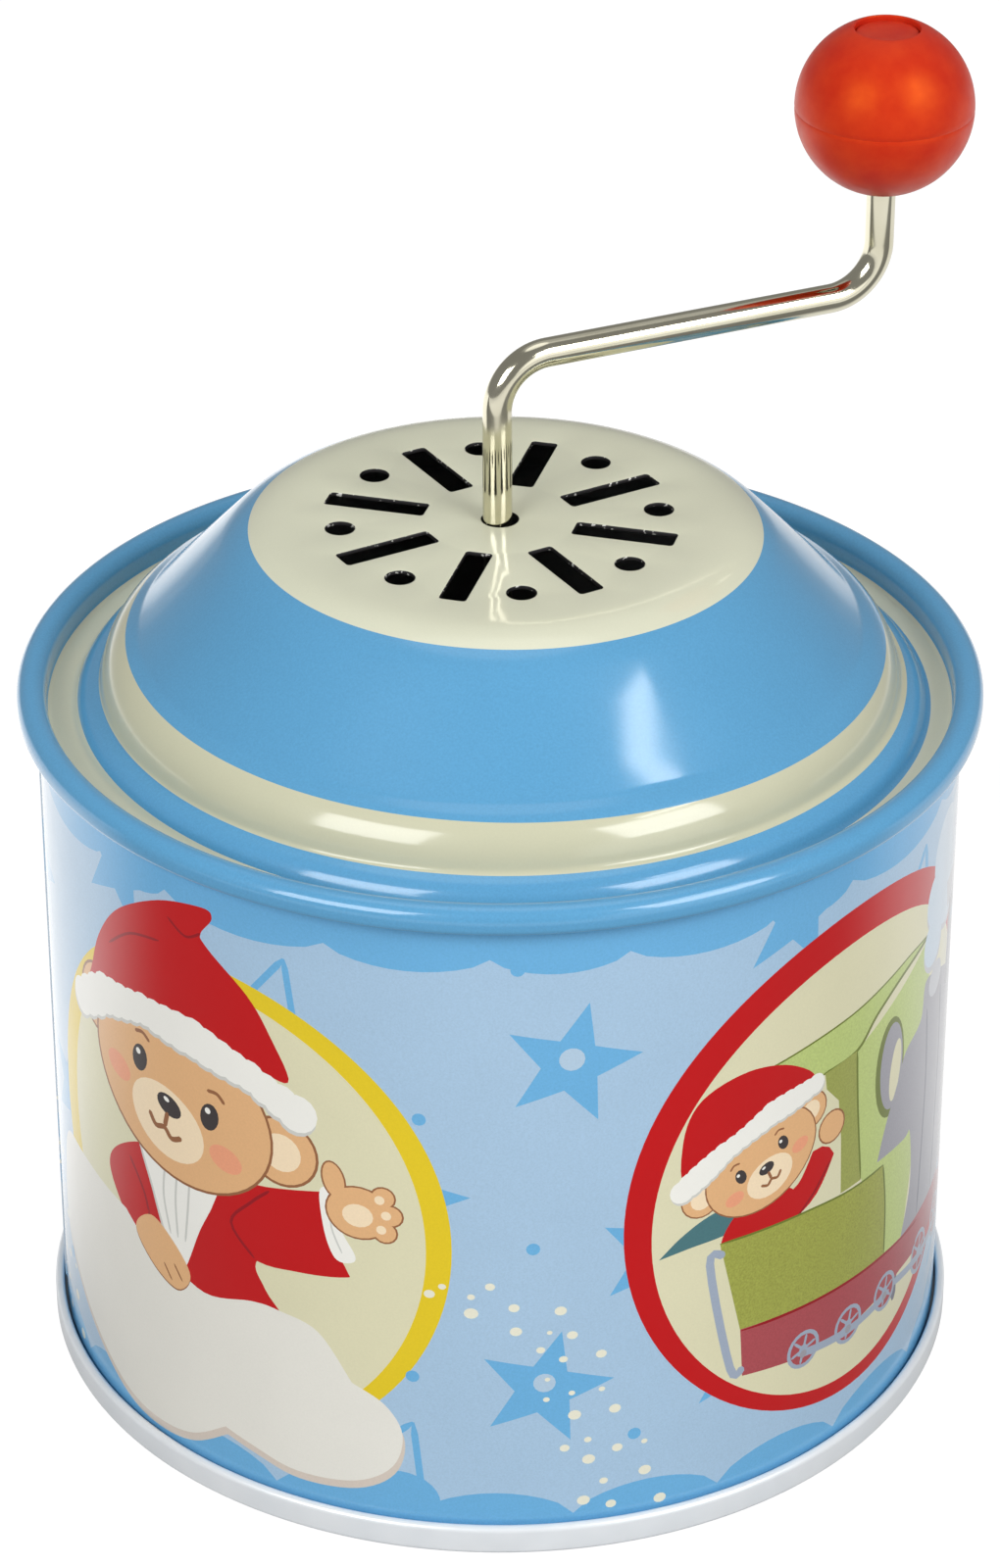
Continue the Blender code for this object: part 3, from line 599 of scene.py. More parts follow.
def waving_bear(art):
    """Yellow ring: a teddy bear in a red nightcap and nightshirt, waving over a cloud."""
    art.oval("cream", *YELLOW_RING[1], steps=120)
    art.ring("yellow", *YELLOW_RING)
    shirt = [
        (-16.6, -5.4), (-14.2, -1.6), (-8, 1.6), (0, 2.4), (5, 1.8), (9, -3), (5.6, -7), (6.6, -10),
        (9, -14.6), (0, -17), (-9, -15), (-13.6, -10.2),
    ]
    art.blob("red", shirt)
    sleeve = [
        (1, 1.8), (7, 2.7), (13.4, 4), (13.4, 4), (13.7, -0.6), (15.9, -5), (15.6, -5.9), (10.4, -6.6),
        (5, -6.6), (-1, -2.4),
    ]
    art.blob("red", sleeve)
    art.line("red_shade", [(7.4, 2.3), (5.2, 0.2), (2.6, -3.2), (5.4, -6.6)], 0.35)
    art.line("red_shade", [(-12.4, -2), (-10, -5.4), (-9, -9.4)], 0.35)
    cuff = [(13.1, 4.1), (14.6, 4.2), (15.2, 0.2), (16.8, -3), (16.2, -4), (14.6, -3.7), (13.5, -0.6)]
    art.blob("white", cuff)
    art.line("white_shade", [(14.2, 3.4), (14.3, 0), (15.4, -3)], 0.2)
    open_paw(art, 17.2, 2.3, 0.86)
    bib = [(-10.4, 2.4), (-4, 0.2), (1.6, 2.6), (0.4, -1.8), (-1.6, -6), (-4.4, -12.4), (-6.4, -9.4)]
    bib.append((-8.4, -4))
    art.blob("white_shade", bib, -0.25, -0.3)
    art.blob("white", bib)
    for shift in (-2.2, -0.4, 1.4):
        art.line("white_shade", [(-4.2 + shift, 0), (-4.6 + shift, -4), (-4.6 + 0.6 * shift, -8.4)], 0.3)
    bear_head(art, -5, 9.2, 12.4, -15, 1)
    cap = [
        (-19.6, 13.6), (-18.4, 18.4), (-16.4, 23), (-12.5, 27.6), (-5.8, 31.6), (0.2, 33.1), (1.4, 32.2),
        (-0.1, 30), (0.6, 28.7), (5.4, 24.8), (8, 20.8), (9.9, 16), (5, 17), (-2, 18.4), (-10, 18),
    ]
    art.blob("red", cap)
    art.line("red_shade", [(-4.6, 30.2), (-2.2, 28.9), (-0.1, 30)], 0.3)
    art.line("red_shade", [(-14.6, 22.6), (-10.6, 25.6), (-6, 26.8)], 0.3)
    brim = [(-21.4, 12.6), (-16, 15.8), (-9, 17.4), (-1.6, 17.2), (5.4, 15.4), (10.8, 12.6)]
    fur_trim(art, brim, 2.15, (-0.1, -0.45))
    cloud_bank(art)
    arm = [(-16.4, -4.8), (-12.8, -4), (-9.4, -7.4), (-9.4, -7.4), (-11.6, -10.6), (-11.6, -10.6), (-15, -8)]
    art.blob("red", arm)
    paw = [(-11.8, -10.4), (-9, -7.6), (-5.6, -9.2), (-3.2, -12.4), (-5.2, -15), (-9, -13.6)]
    art.blob("fur_line", paw, 0, -0.18)
    art.blob("fur", paw)
    for x, y in ((-5.6, -12), (-7.2, -12.6)):
        art.line("fur_line", [(x, y), (x + 1.2, y - 1.7)], 0.22)


def open_paw(art, x, y, size):
    """An open paw: a palm, a raised thumb and three toes with pads."""
    toes = ((3, 2.6), (3.9, 0.2), (3.2, -2.2))
    rounds = [(0, 0, 3.9, 3.5, 0), (-3, 4, 1.3, 2.4, 12)] + [(a, b, 1.35, 1.35, 0) for a, b in toes]
    for ink, line in (("fur_line", 0.2), ("fur", 0)):
        for a, b, width, height, tilt in rounds:
            art.oval(ink, x + size * a, y + size * b, size * width + line, size * height + line, tilt)
    pads = [(-0.1, -0.4, 1.9, 1.6)] + [(a * 0.86, b * 0.86, 0.62, 0.62) for a, b in toes]
    for a, b, width, height in pads:
        art.oval("fur_light", x + size * a, y + size * b, size * width, size * height)


def wheel(art, x, y, radius):
    art.oval("steel", x, y, radius)
    art.oval("frame_red", x, y, radius * 0.8)
    for spoke in range(6):
        angle = math.pi * spoke / 3 + 0.3
        end = (x + radius * 0.78 * math.cos(angle), y + radius * 0.78 * math.sin(angle))
        art.line("steel", [(x, y), end], 0.34)
    art.oval("steel", x, y, radius * 0.26)


def toy_engine(art):
    """Red ring: a green toy steam engine, driven by a teddy with a red cap and a teal scarf."""
    art.oval("cream", 0, 0, 28, steps=120)
    cab = [(-1, 13.1), (14.1, 19.2), (15, 8), (12.4, -3.4), (11.2, -10), (10, -15.9), (5.6, -15.6)]
    cab.append((0.5, -3.1))
    art.patch("green_light", cab)
    roof = [
        (-13.6, 16.2), (-7.2, 17.2), (-1, 18), (4.3, 18.9), (9.1, 19.5), (14.1, 19.3), (7.5, 18),
        (2.4, 15.8), (-1, 13.1), (-6.2, 12.6),
    ]
    art.patch("green_light", roof)
    art.line("green_line", roof[:6], 0.22)
    art.line("green_line", roof[:4:-1], 0.42)
    art.oval("green_line", 5.4, 7.8, 2.9, 6)
    art.oval("boiler", 5.7, 7.8, 2.3, 5.2)
    art.oval("cream", 6.5, 6.9, 1.1, 3.6, -8)
    post = [(-5.9, 12.6), (-1, 13.1), (-0.5, 6), (0.5, -3.4), (-2.8, -3.4), (-3.1, 3.6), (-3.7, 8.4)]
    post.append((-5.6, 10.6))
    art.patch("green", post)
    art.line("green_line", [(-1, 13.1), (-0.5, 6), (0.5, -3.3)], 0.3)
    art.ring("red", *RED_RING)
    engine_boiler(art)
    engine_driver(art)
    panel = [(-18.8, -3), (-8.5, -3.2), (-1.1, -3.8), (4.8, -3.9), (5.6, -9.3), (5.8, -15.7), (-16.1, -14.6)]
    art.patch("green_side", panel)
    art.line("green_line", panel[:4], 0.26)
    art.line("green_line", panel[3:6], 0.3)
    frame_side = [
        (-16.1, -14.5), (5.8, -15.6), (14.8, -16.4), (14.2, -19.6), (7, -20.6), (-1.3, -21.6), (-8.6, -21.4),
        (-15.7, -20.5),
    ]
    art.patch("frame_red", frame_side)
    art.line("red_shade", [(-16, -14.7), (5.8, -15.8), (14.4, -16.6)], 0.35)
    axles = ((-7.6, -20.6), (-0.6, -21), (6.4, -20.8))
    for x, y in axles:
        wheel(art, x, y, 2.3)
    art.line("steel", [(-8.4, -21), (-0.6, -21.8), (7.4, -21.3)], 1)
    for x, y in axles:
        art.oval("boiler", x, y - 0.6, 0.5)
    art.line("steel", [(-15.6, -19.4), (-17.2, -19), (-19.9, -5.2), (-18.2, -4.6)], 0.95)


def engine_boiler(art):
    """The grey saddle tank, boiler, chimney and lamp, with smoke trailing back. The nose leaves the ring."""
    puffs = (
        (28.4, 24.4, 3.2), (24.2, 26.6, 4.2), (19.4, 26.6, 4.6), (20.6, 21.4, 4.2), (16.4, 22.4, 3.4),
        (15.6, 17.6, 3),
    )
    for ink, drop in (("boiler_light", -0.7), ("haze", 0)):
        for x, y, size in puffs:
            art.oval(ink, x, y + drop, size)
    tank = [
        (13.6, 13.6), (12.6, 9.6), (8.8, 7.8), (7, 4.6), (5, 1), (3.5, -2.9), (3.5, -2.9), (9.4, -3.3),
        (10.9, -3.4), (11.6, -10.2), (9.6, -16.2), (9.6, -16.2), (29.6, -15.8), (29.6, -15.8), (31.6, -9),
        (31.6, 1), (29.4, 7.6), (24, 10), (18, 12.6),
    ]
    art.blob("boiler", tank)
    art.patch("boiler_line", [(22, 8), (27.4, 8), (26.6, 18.6), (22.8, 18.6)])
    art.patch("boiler_light", [(21.4, 18.2), (28, 18.2), (28.8, 21.6), (20.6, 21.6)])
    art.oval("boiler_light", 17, 12.2, 2.3, 2)
    for x in (14.4, 19.6, 24.8):
        art.line("boiler_line", [(x, 9.8), (x + 0.7, 0), (x - 0.2, -15.6)], 0.5)
    art.oval("boiler_light", 29.8, -4, 2.5, 9.6)
    art.oval("boiler_line", 29.9, -4, 0.7, 1.3)
    art.oval("yellow", 29.6, 8.2, 1.5, 1.9)
    art.patch("frame_red", [(8, -16), (30.6, -15.8), (33.4, -20.6), (8.6, -20.2)])
    art.line("boiler_line", [(8.6, -18), (8.4, -23.2)], 1.2)
    for x in (15.6, 23):
        wheel(art, x, -21.4, 2.6)
    art.line("steel", [(8, -20.9), (16, -22), (23.6, -22)], 1)


def engine_driver(art):
    """A teddy leaning out of the cab, one paw at its cap."""
    scarf = [(-16.6, 1.4), (-20.2, 0.8), (-23.2, -0.9)] + 2 * [(-25.6, -3.1)] + [(-22.4, -2.5), (-16.6, -1.6)]
    art.blob("teal", scarf)
    art.blob("red", [(-18.2, -4.4), (-17.2, -0.2), (-13, 1.4), (-9.6, 0), (-9.2, -5.6)])
    art.line("red", [(-11, -2), (-7.8, -0.4), (-5.4, 3.6)], 3.6)
    art.line("red_shade", [(-10, -4), (-7, -1.4), (-4.6, 1.6)], 0.3)
    art.oval("fur_line", -4.6, 5.7, 2)
    art.oval("fur", -4.6, 5.7, 1.8)
    bear_head(art, -13.8, 5.2, 6.7, 24, -1)
    cap = [(-22.4, 5), (-23.2, 10.6), (-21.2, 15), (-16, 16.8), (-10.6, 15.6), (-7.4, 12.4), (-14.6, 10.4)]
    art.blob("red", cap)
    fur_trim(art, [(-23.2, 4.6), (-18.6, 8), (-13, 10.8), (-7.2, 12)], 1.35, (0.1, -0.3))


def crescent(x, y, radius, bite_x, bite_y, bite_r):
    """A round moon's outline with a round bite taken out of its upper right."""
    left = [point for point in ellipse(x, y, radius, steps=72) if math.dist(point, (bite_x, bite_y)) > bite_r]
    start = max(range(len(left)), key=lambda index: math.dist(left[index], left[index - 1]))
    left = left[start:] + left[:start]
    last, first = (math.atan2(tip[1] - bite_y, tip[0] - bite_x) for tip in (left[0], left[-1]))
    last -= TURN if last > first else 0
    bite = [first + (last - first) * step / 30 for step in range(1, 30)]
    return left + [(bite_x + bite_r * math.cos(angle), bite_y + bite_r * math.sin(angle)) for angle in bite]


def moon_and_stars(art):
    """Yellow ring: a crescent moon and three stars over a cloud."""
    art.oval("cream", *YELLOW_RING[1], steps=120)
    art.ring("yellow", *YELLOW_RING)
    art.patch("yellow", crescent(-1, 4, 14, 5.4, 7, 11.4))
    for x, y, size in ((7, 9.4, 4.6), (14.6, -1, 3), (15, 14, 2.4)):
        art.patch("mid", star(x, y, size, 90))
    cloud_bank(art)


def toy_sailboat(art):
    """Red ring: a toy sailing boat on scalloped waves."""
    art.oval("cream", 0, 0, 28, steps=120)
    art.oval("yellow", 14, 14, 4.4)
    art.patch("brown", [(-1.4, -8), (-0.2, -8), (-0.2, 20.6), (-1.2, 20.6)])
    sail = [(0.4, 19), (0.4, 19), (6, 9), (13.6, -4.4), (13.6, -4.4), (6, -5.2), (0.4, -5), (0.4, -5)]
    art.blob("white", sail)
    art.line("white_shade", [(0.8, 6), (4, 5.2), (8, 5)], 0.3)
    art.blob("yellow", [(-2, 16.6), (-2, 16.6), (-6, 6), (-12.6, -4), (-12.6, -4), (-2, -5), (-2, -5)])
    art.blob("red", [(-17, -8), (-17, -8), (0, -9.2), (17.6, -8), (17.6, -8), (12, -15), (-11, -15.6)])
    art.line("white", [(-15.6, -10.2), (0, -11.2), (15.8, -10.2)], 0.9)
    art.patch("red", [(-0.2, 20.6), (-0.2, 18), (4.6, 19.4)])
    for row, ink in enumerate(("mid", "sky")):
        crests = [1.7 * abs(math.sin(math.pi * (x + 2.2 * row) / 6.75)) for x in range(-27, 28)]
        wave = [(x, -13.4 - 4.2 * row - crest) for x, crest in zip(range(-27, 28), crests)]
        art.patch(ink, [(-27, -28), *wave, (27, -28)])
    art.ring("red", *RED_RING)


def scalloped(art, cusps, base, depth, far):
    """A mid-blue band whose edge swells by depth between the cusps at height base. It is straight at far."""
    edge = []
    for start, end in zip(cusps, cusps[1:]):
        for t in (step / 10 for step in range(10)):
            edge.append((start + (end - start) * t, base + depth * math.sin(math.pi * t) ** 0.6))
    art.patch("mid", [*edge, (cusps[-1], base), (cusps[-1], far), (cusps[0], far)])


def gap_stars(art):
    """Stars that show between two rings, partly behind them, drawn from the gap's middle."""
    art.oval("mid", -15.6, 5.4, 4.4, 3.6)
    for x, z in ((1.9, 58.9), (-0.6, 20.1), (-15.2, 43), (11.5, 35.4), (21.4, 19.6), (26.4, 70.6)):
        art.patch("mid", star(x, z, 7.2))
    for tip in (((-31.4, 62.6), (-26.9, 68.3), (-25.9, 61)), ((-18.8, 11), (-14, 15.4), (-13, 5.6))):
        art.line("mid", tip[:2], 0.75)
        art.line("mid", tip[1:], 0.75)


def gap_sparkles(art):
    """Small dots, and a trail of cream sparkles that falls from the upper left."""
    art.oval("star_eye", 1.95, 59.5, 1.3)
    art.oval("star_eye", -0.6, 20.8, 1.15)
    for x, z in ((-13.1, 52.4), (-14, 21.2), (-1.8, 37.3), (8.8, 13.1), (-3.4, 70)):
        art.oval("mid", x, z, 0.72)
    trail = (
        (-12.2, 31.6, 0.5), (-10.9, 32.6, 0.35), (-8, 31.5, 0.35), (-8, 29.5, 0.65), (-6.1, 32.8, 0.45),
        (-3.7, 30.2, 0.5), (-3.5, 27.3, 0.55), (1, 29.6, 0.55), (-0.1, 27, 0.25), (2.2, 26.5, 0.5),
        (-1, 24.9, 0.4), (1.3, 23.6, 0.4), (5.2, 23.8, 0.5), (-0.3, 21.2, 0.25), (2.2, 19.3, 0.3),
        (5.3, 19.4, 0.3), (-0.4, 18.7, 0.3), (2.5, 16.5, 0.6), (6.7, 16.7, 0.55), (3.9, 13.2, 0.35),
        (1.5, 12.4, 0.45), (4, 10.7, 0.6), (7, 11.7, 0.5), (9.9, 11.9, 0.3), (10, 8.2, 0.6),
        (5.6, 7.7, 0.4), (3.5, 5.5, 0.6), (6.4, 4.6, 0.5), (11.7, 4.2, 0.6),
    )
    for x, z, size in trail:
        art.oval("spark", x, z, size * 1.15, size)


def wall_art(quarter):
    """Everything printed on the wall, from the lowest layer up. quarter is a quarter of the way round."""
    sheet = Print([])
    widths = (18.9, 16.5, 13.7, 16.3, 9.9)
    cusps = [-36.4 - quarter]
    for lobe in range(5 * len(widths)):
        cusps.append(cusps[-1] + widths[lobe % len(widths)])
    scalloped(sheet, cusps, 71.2, -1.8, 78)
    scalloped(sheet, [-8.3 + 15.85 * lobe for lobe in range(-8, 20)], 4, 3, 0)
    gaps = [sheet.at(5.1 + quarter * step, 0) for step in (-1, 0, 1, 2, 3)]
    for gap in gaps:
        gap_stars(gap)
    waving_bear(sheet.at(-31.5, 38))
    toy_engine(sheet.at(41.8, 37.2))
    moon_and_stars(sheet.at(-31.5 + 2 * quarter, 38))
    for turns in (2, -2):
        toy_sailboat(sheet.at(41.8 + turns * quarter, 37.2))
    for gap in gaps:
        gap_sparkles(gap)
    return sheet.shapes


# ---------------------------------------------------------------- mesh tools


def new_object(name, bm, finishes, smooth_angle=35.0):
    """An object from a bmesh in millimetres, with smooth faces and sharp edges where it turns hard."""
    bmesh.ops.scale(bm, vec=(MM, MM, MM), verts=bm.verts)
    mesh = bpy.data.meshes.new(name)
    bm.to_mesh(mesh)
    bm.free()
    mesh.shade_smooth()
    mesh.set_sharp_from_angle(angle=math.radians(smooth_angle))
    for finish in finishes:
        mesh.materials.append(finish)
    made = bpy.data.objects.new(name, mesh)
    bpy.context.collection.objects.link(made)
    return made


def arc(x, y, radius, start, end, steps):
    """Points on a circle from one angle to another, in degrees."""
    points = []
    for step in range(steps + 1):
        angle = math.radians(start + (end - start) * step / steps)
        points.append((x + radius * math.cos(angle), y + radius * math.sin(angle)))
    return points


def bend(start, start_slope, end, end_slope, steps):
    """Points after start up to end of a stretch whose slope steepens evenly from one angle to another."""
    points = []
    for step in range(1, steps + 1):
        slope = start_slope + (end_slope - start_slope) * step / steps
        across = (math.sin(slope) - math.sin(start_slope)) / (math.sin(end_slope) - math.sin(start_slope))
        down = (math.cos(start_slope) - math.cos(slope)) / (math.cos(start_slope) - math.cos(end_slope))
        points.append((start[0] + (end[0] - start[0]) * across, start[1] + (end[1] - start[1]) * down))
    return points


def pressed(points, spacing=0.25, passes=3):
    """Softens the creases of a profile as a press does, then keeps only the points where it turns."""
    dense = [Vector(points[0])]
    for point in points[1:]:
        start, end = dense[-1], Vector(point)
        count = max(1, round((end - start).length / spacing))
        dense += [start.lerp(end, step / count) for step in range(1, count + 1)]
    for _ in range(passes):
        inner = [(a + 2 * b + c) / 4 for a, b, c in zip(dense, dense[1:], dense[2:])]
        dense = [dense[0], *inner, dense[-1]]
    kept = [dense[0]]
    for index in range(1, len(dense) - 1):
        arrive = dense[index] - kept[-1]
        leave = dense[index + 1] - dense[index]
        if arrive.length > 3.0 or arrive.angle(leave) > math.radians(2.5):
            kept.append(dense[index])
    kept.append(dense[-1])
    return [tuple(point) for point in kept]


def sheet_under(points, thickness):
    """The other side of a sheet whose upper side runs outward through the points."""
    under = []
    for index, (radius, height) in enumerate(points):
        along = Vector(points[min(index + 1, len(points) - 1)]) - Vector(points[max(index - 1, 0)])
        along.normalize()
        under.append((radius + along.y * thickness, height - along.x * thickness))
    return under


def lathe(bm, profile, segments=ROUND, closed=True, material=0):
    """Turns a profile of (radius, height) points about Z. A point on the axis becomes one vertex."""
    rings = []
    for radius, height in profile:
        if radius < 1e-6:
            rings.append([bm.verts.new((0, 0, height))] * segments)
            continue
        around = [TURN * step / segments for step in range(segments)]
        rings.append([bm.verts.new((radius * math.cos(a), radius * math.sin(a), height)) for a in around])
    for lower, upper in zip(rings, rings[1:] + rings[: 1 if closed else 0]):
        for step in range(segments):
            after = (step + 1) % segments
            corners = [lower[step], lower[after], upper[after], upper[step]]
            corners = [corner for index, corner in enumerate(corners) if corner not in corners[:index]]
            if len(corners) > 2:
                bm.faces.new(corners).material_index = material


def round_hole(x, y, radius, steps=40):
    """An opening as a function of how far its edge is grown."""
    return lambda grown: ellipse(x, y, radius + grown, steps=steps)


def slot_hole(angle, distance, length, width, corner=0.35):
    """A rectangle with small corner radii, pointing at the axis, as a function of how far it is grown."""
    across, up = math.cos(angle), math.sin(angle)

    def outline(grown):
        points = []
        for quarter, (along, aside) in enumerate(((1, 1), (-1, 1), (-1, -1), (1, -1))):
            x, y = distance + along * (length / 2 - corner), aside * (width / 2 - corner)
            points += arc(x, y, corner + grown, 90 * quarter, 90 * quarter + 90, 6)
        return [(x * across - y * up, x * up + y * across) for x, y in points]

    return outline


def inside(points, loops):
    """Which of the points lie inside the loops, by the even-odd rule."""
    found = np.zeros(len(points), bool)
    for loop in loops:
        edge = np.asarray(loop, float)
        low, high = edge.min(axis=0), edge.max(axis=0)
        near = np.flatnonzero(((points >= low) & (points <= high)).all(axis=1))
        if not len(near):
            continue
        x, y = points[near, 0, None], points[near, 1, None]
        x0, y0 = edge[:, 0], edge[:, 1]
        x1, y1 = np.roll(x0, -1), np.roll(y0, -1)
        crosses = (y0 > y) != (y1 > y)
        with np.errstate(divide="ignore", invalid="ignore"):
            reach = x0 + (y - y0) * (x1 - x0) / (y1 - y0)
        found[near] ^= (crosses & (x < reach)).sum(axis=1) % 2 == 1
    return found


def triangulated(loops, lines=()):
    """Points and triangles of the plane, with every loop and line as edges."""
    points, edges = [], []
    for path, is_loop in [(loop, True) for loop in loops] + [(line, False) for line in lines]:
        first = len(points)
        points += [Vector(point) for point in path]
        edges += [(first + index, first + index + 1) for index in range(len(path) - 1)]
        if is_loop:
            edges.append((len(points) - 1, first))
    verts, _, faces, *_ = delaunay_2d_cdt(points, edges, [], 0, 1e-5, False)
    return np.array([tuple(vert) for vert in verts]), np.array(faces, int)


def pierced_sheet(bm, top, bottom, top_r, bottom_r, openings, lip, cut):
    """A flat sheet out to top_r and bottom_r, with openings whose upper edges roll over."""
    thick = top - bottom
    steps = [(lip, 0.0), (0.35 * lip, 0.12 * lip), (0.0, 0.7 * lip), (0.0, thick)]
    for height, radius, grown, upward in ((top, top_r, lip, True), (bottom, bottom_r, 0.0, False)):
        edges = [ellipse(0, 0, reach, steps=ROUND) for reach in (radius, radius - 0.4)]
        edges += [opening(grown) for opening in openings]
        points, triangles = triangulated(edges)
        centres = points[triangles].mean(axis=1)
        keep = inside(centres, edges[:1]) & ~inside(centres, edges[2:])
        verts = [bm.verts.new((x, y, height)) for x, y in points]
        for a, b, c in triangles[keep]:
            bm.faces.new((verts[a], verts[b], verts[c]) if upward else (verts[c], verts[b], verts[a]))
    for opening in openings:
        rows = [[bm.verts.new((x, y, top - drop)) for x, y in opening(grown)] for grown, drop in steps]
        for upper, lower in zip(rows, rows[1:]):
            for step in range(len(upper)):
                after = (step + 1) % len(upper)
                face = bm.faces.new((upper[step], upper[after], lower[after], lower[step]))
                face.material_index = cut if upper is not rows[0] else 0


def weld(bm):
    bmesh.ops.remove_doubles(bm, verts=bm.verts, dist=0.002)
    loose = [vert for vert in bm.verts if not vert.link_faces]
    bmesh.ops.delete(bm, geom=loose, context="VERTS")
    bmesh.ops.recalc_face_normals(bm, faces=bm.faces)


def sweep(route, radius, sides=32):
    """A round bar along a route of points, with slightly rounded ends."""
    bm = bmesh.new()
    path = [Vector(point) for point in route]
    legs = [(b - a).normalized() for a, b in zip(path, path[1:])]
    directions = [legs[0], *((a + b).normalized() for a, b in zip(legs, legs[1:])), legs[-1]]
    side = legs[0].orthogonal().normalized()
    # how far along the end each ring lies, and its share of the radius
    end = ((0.0, 0.55), (0.12, 0.86), (0.35, 1.0))
    rows = []
    for index, (point, along) in enumerate(zip(path, directions)):
        side = (side - along * side.dot(along)).normalized()
        other = along.cross(side)
        rings = [(0.0, 1.0)]
        if index == 0:
            rings = end
        elif index == len(path) - 1:
            rings = [(-shift, share) for shift, share in reversed(end)]
        for shift, share in rings:
            around = [TURN * step / sides for step in range(sides)]
            spokes = [(side * math.cos(turn) + other * math.sin(turn)) * radius * share for turn in around]
            rows.append([bm.verts.new(point + along * shift + spoke) for spoke in spokes])
    for lower, upper in zip(rows, rows[1:]):
        for step in range(sides):
            after = (step + 1) % sides
            bm.faces.new((lower[step], lower[after], upper[after], upper[step]))
    bm.faces.new(rows[0][::-1])
    bm.faces.new(rows[-1])
    return bm


def turned(name, profile, segments, finish, closed):
    """A piece turned about the knob's own axis."""
    bm = bmesh.new()
    lathe(bm, profile, segments, closed)
    bmesh.ops.recalc_face_normals(bm, faces=bm.faces)
    bmesh.ops.translate(bm, vec=KNOB_AT, verts=bm.verts)
    return new_object(name, bm, [finish], 30.0)


# ---------------------------------------------------------------- pieces


def make_lid(finishes):
    """Pierced flat top, shoulder, cone, bead, step, channel and rolled rim, in one sheet."""
    shoulder_r = TOP_FLAT_R + TOP_ROUND_R * math.sin(CONE_SLOPE)
    shoulder = (shoulder_r, TOP_Z - TOP_ROUND_R * (1 - math.cos(CONE_SLOPE)))
    upper = [(TOP_FLAT_R, TOP_Z), *bend((TOP_FLAT_R, TOP_Z), 0, shoulder, CONE_SLOPE, 12), CREASE]
    bead, step = [[math.radians(slope) for slope in slopes] for slopes in (BEAD_SLOPES, STEP_SLOPES)]
    upper += bend(CREASE, bead[0], STEP_TOP, bead[1], 14)
    upper += bend(STEP_TOP, step[0], STEP_FOOT, step[1], 12)
    upper += [CHANNEL, (CHUCK_R - CHUCK_FOOT, CHANNEL[1])]
    upper = pressed(upper)
    lip = (RIM_R - CHUCK_R) / 2
    rim = arc(CHUCK_R - CHUCK_FOOT, CHANNEL[1] + CHUCK_FOOT, CHUCK_FOOT, -80, 0, 5)
    rim += arc(CHUCK_R + lip, RIM_TOP - lip, lip, 180, 0, 20)
    rim += arc(RIM_R - RIM_EDGE, RIM_LOW + RIM_EDGE, RIM_EDGE, 0, -90, 6)
    rim += [(GROOVE[1], RIM_LOW), *((radius, WALL_HIGH + GROOVE_SPARE) for radius in reversed(GROOVE))]
    rim.append((GROOVE[0], CHANNEL[1] - SHEET))
    bm = bmesh.new()
    under = sheet_under(upper, SHEET)
    lathe(bm, upper + rim, closed=False)
    lathe(bm, [rim[-1], *under[::-1]], closed=False, material=1)
    openings = [round_hole(0, 0, SHAFT_HOLE_R)]
    for index in range(SLOTS):
        angle = SLOT_FIRST - TURN * index / SLOTS
        openings.append(slot_hole(angle, SLOT_CENTRE_R, *SLOT_SIZE))
        between = angle - math.pi / SLOTS
        openings.append(round_hole(DOT_CENTRE_R * math.cos(between), DOT_CENTRE_R * math.sin(between), DOT_R))
    pierced_sheet(bm, TOP_Z, TOP_Z - SHEET, TOP_FLAT_R, under[0][0], openings, 0.16, 2)
    weld(bm)
    lid = new_object("lid", bm, finishes, 50.0)
    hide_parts("top_lid")
    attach(lid, "case")


def printed_sheet(first, last):
    """The wall's print laid flat between two angles: points (s, z), triangles, and each triangle's ink."""
    s_low, s_high = first * CAN_R, last * CAN_R
    art = wall_art(TURN * CAN_R / 4)
    columns = [first + (last - first) * step / WALL_COLUMNS for step in range(WALL_COLUMNS + 1)]
    columns += [SEAM_AT + SEAM_HALF - SEAM_BEND / CAN_R * step / 4 for step in range(5)]
    lines = [[(angle * CAN_R, WALL_LOW), (angle * CAN_R, WALL_HIGH)] for angle in sorted(columns)[1:-1]]
    for height in SEAM_ENDS:
        lines += [[(s_low, height + shift), (s_low + 5, height + shift)] for shift in (-SEAM_FADE, 0.0)]
    border = [(s_low, WALL_LOW), (s_high, WALL_LOW), (s_high, WALL_HIGH), (s_low, WALL_HIGH)]
    points, triangles = triangulated([border] + [loop for _, loops in art for loop in loops], lines)
    triangles = triangles[inside(points[triangles].mean(axis=1), [border])]
    used, triangles = np.unique(triangles, return_inverse=True)
    points, triangles = points[used], triangles.reshape(-1, 3)
    centres = points[triangles].mean(axis=1)
    names = list(INK)
    ink = np.full(len(triangles), names.index("sky"))
    for name, loops in art:
        ink[inside(centres, loops)] = names.index(name)
    return points, triangles, ink


def rolled_up(points):
    """The flat sheet's points on the can's outer side, their normals, and the points a sheet's thickness in.

    The sheet's first stretch stands out over its end as the seam, but not along the top and the bottom. Its
    bend keeps the plain wall's normals, so that the seam shows as a faint line.
    """
    angle, height = points[:, 0] / CAN_R, points[:, 1]
    past = np.clip((SEAM_AT + SEAM_HALF - angle) * CAN_R / SEAM_BEND, 0.0, 1.0)
    past[(height < SEAM_ENDS[0] - SEAM_FADE / 2) | (height > SEAM_ENDS[1] - SEAM_FADE / 2)] = 0.0
    radius = CAN_R + SEAM_RAISE * (0.5 - 0.5 * np.cos(math.pi * past))
    out = np.stack([np.sin(angle), -np.cos(angle), 0 * angle], axis=1)
    up = height[:, None] * (0, 0, 1)
    return out * radius[:, None] + up, out, out * (radius - WALL)[:, None] + up


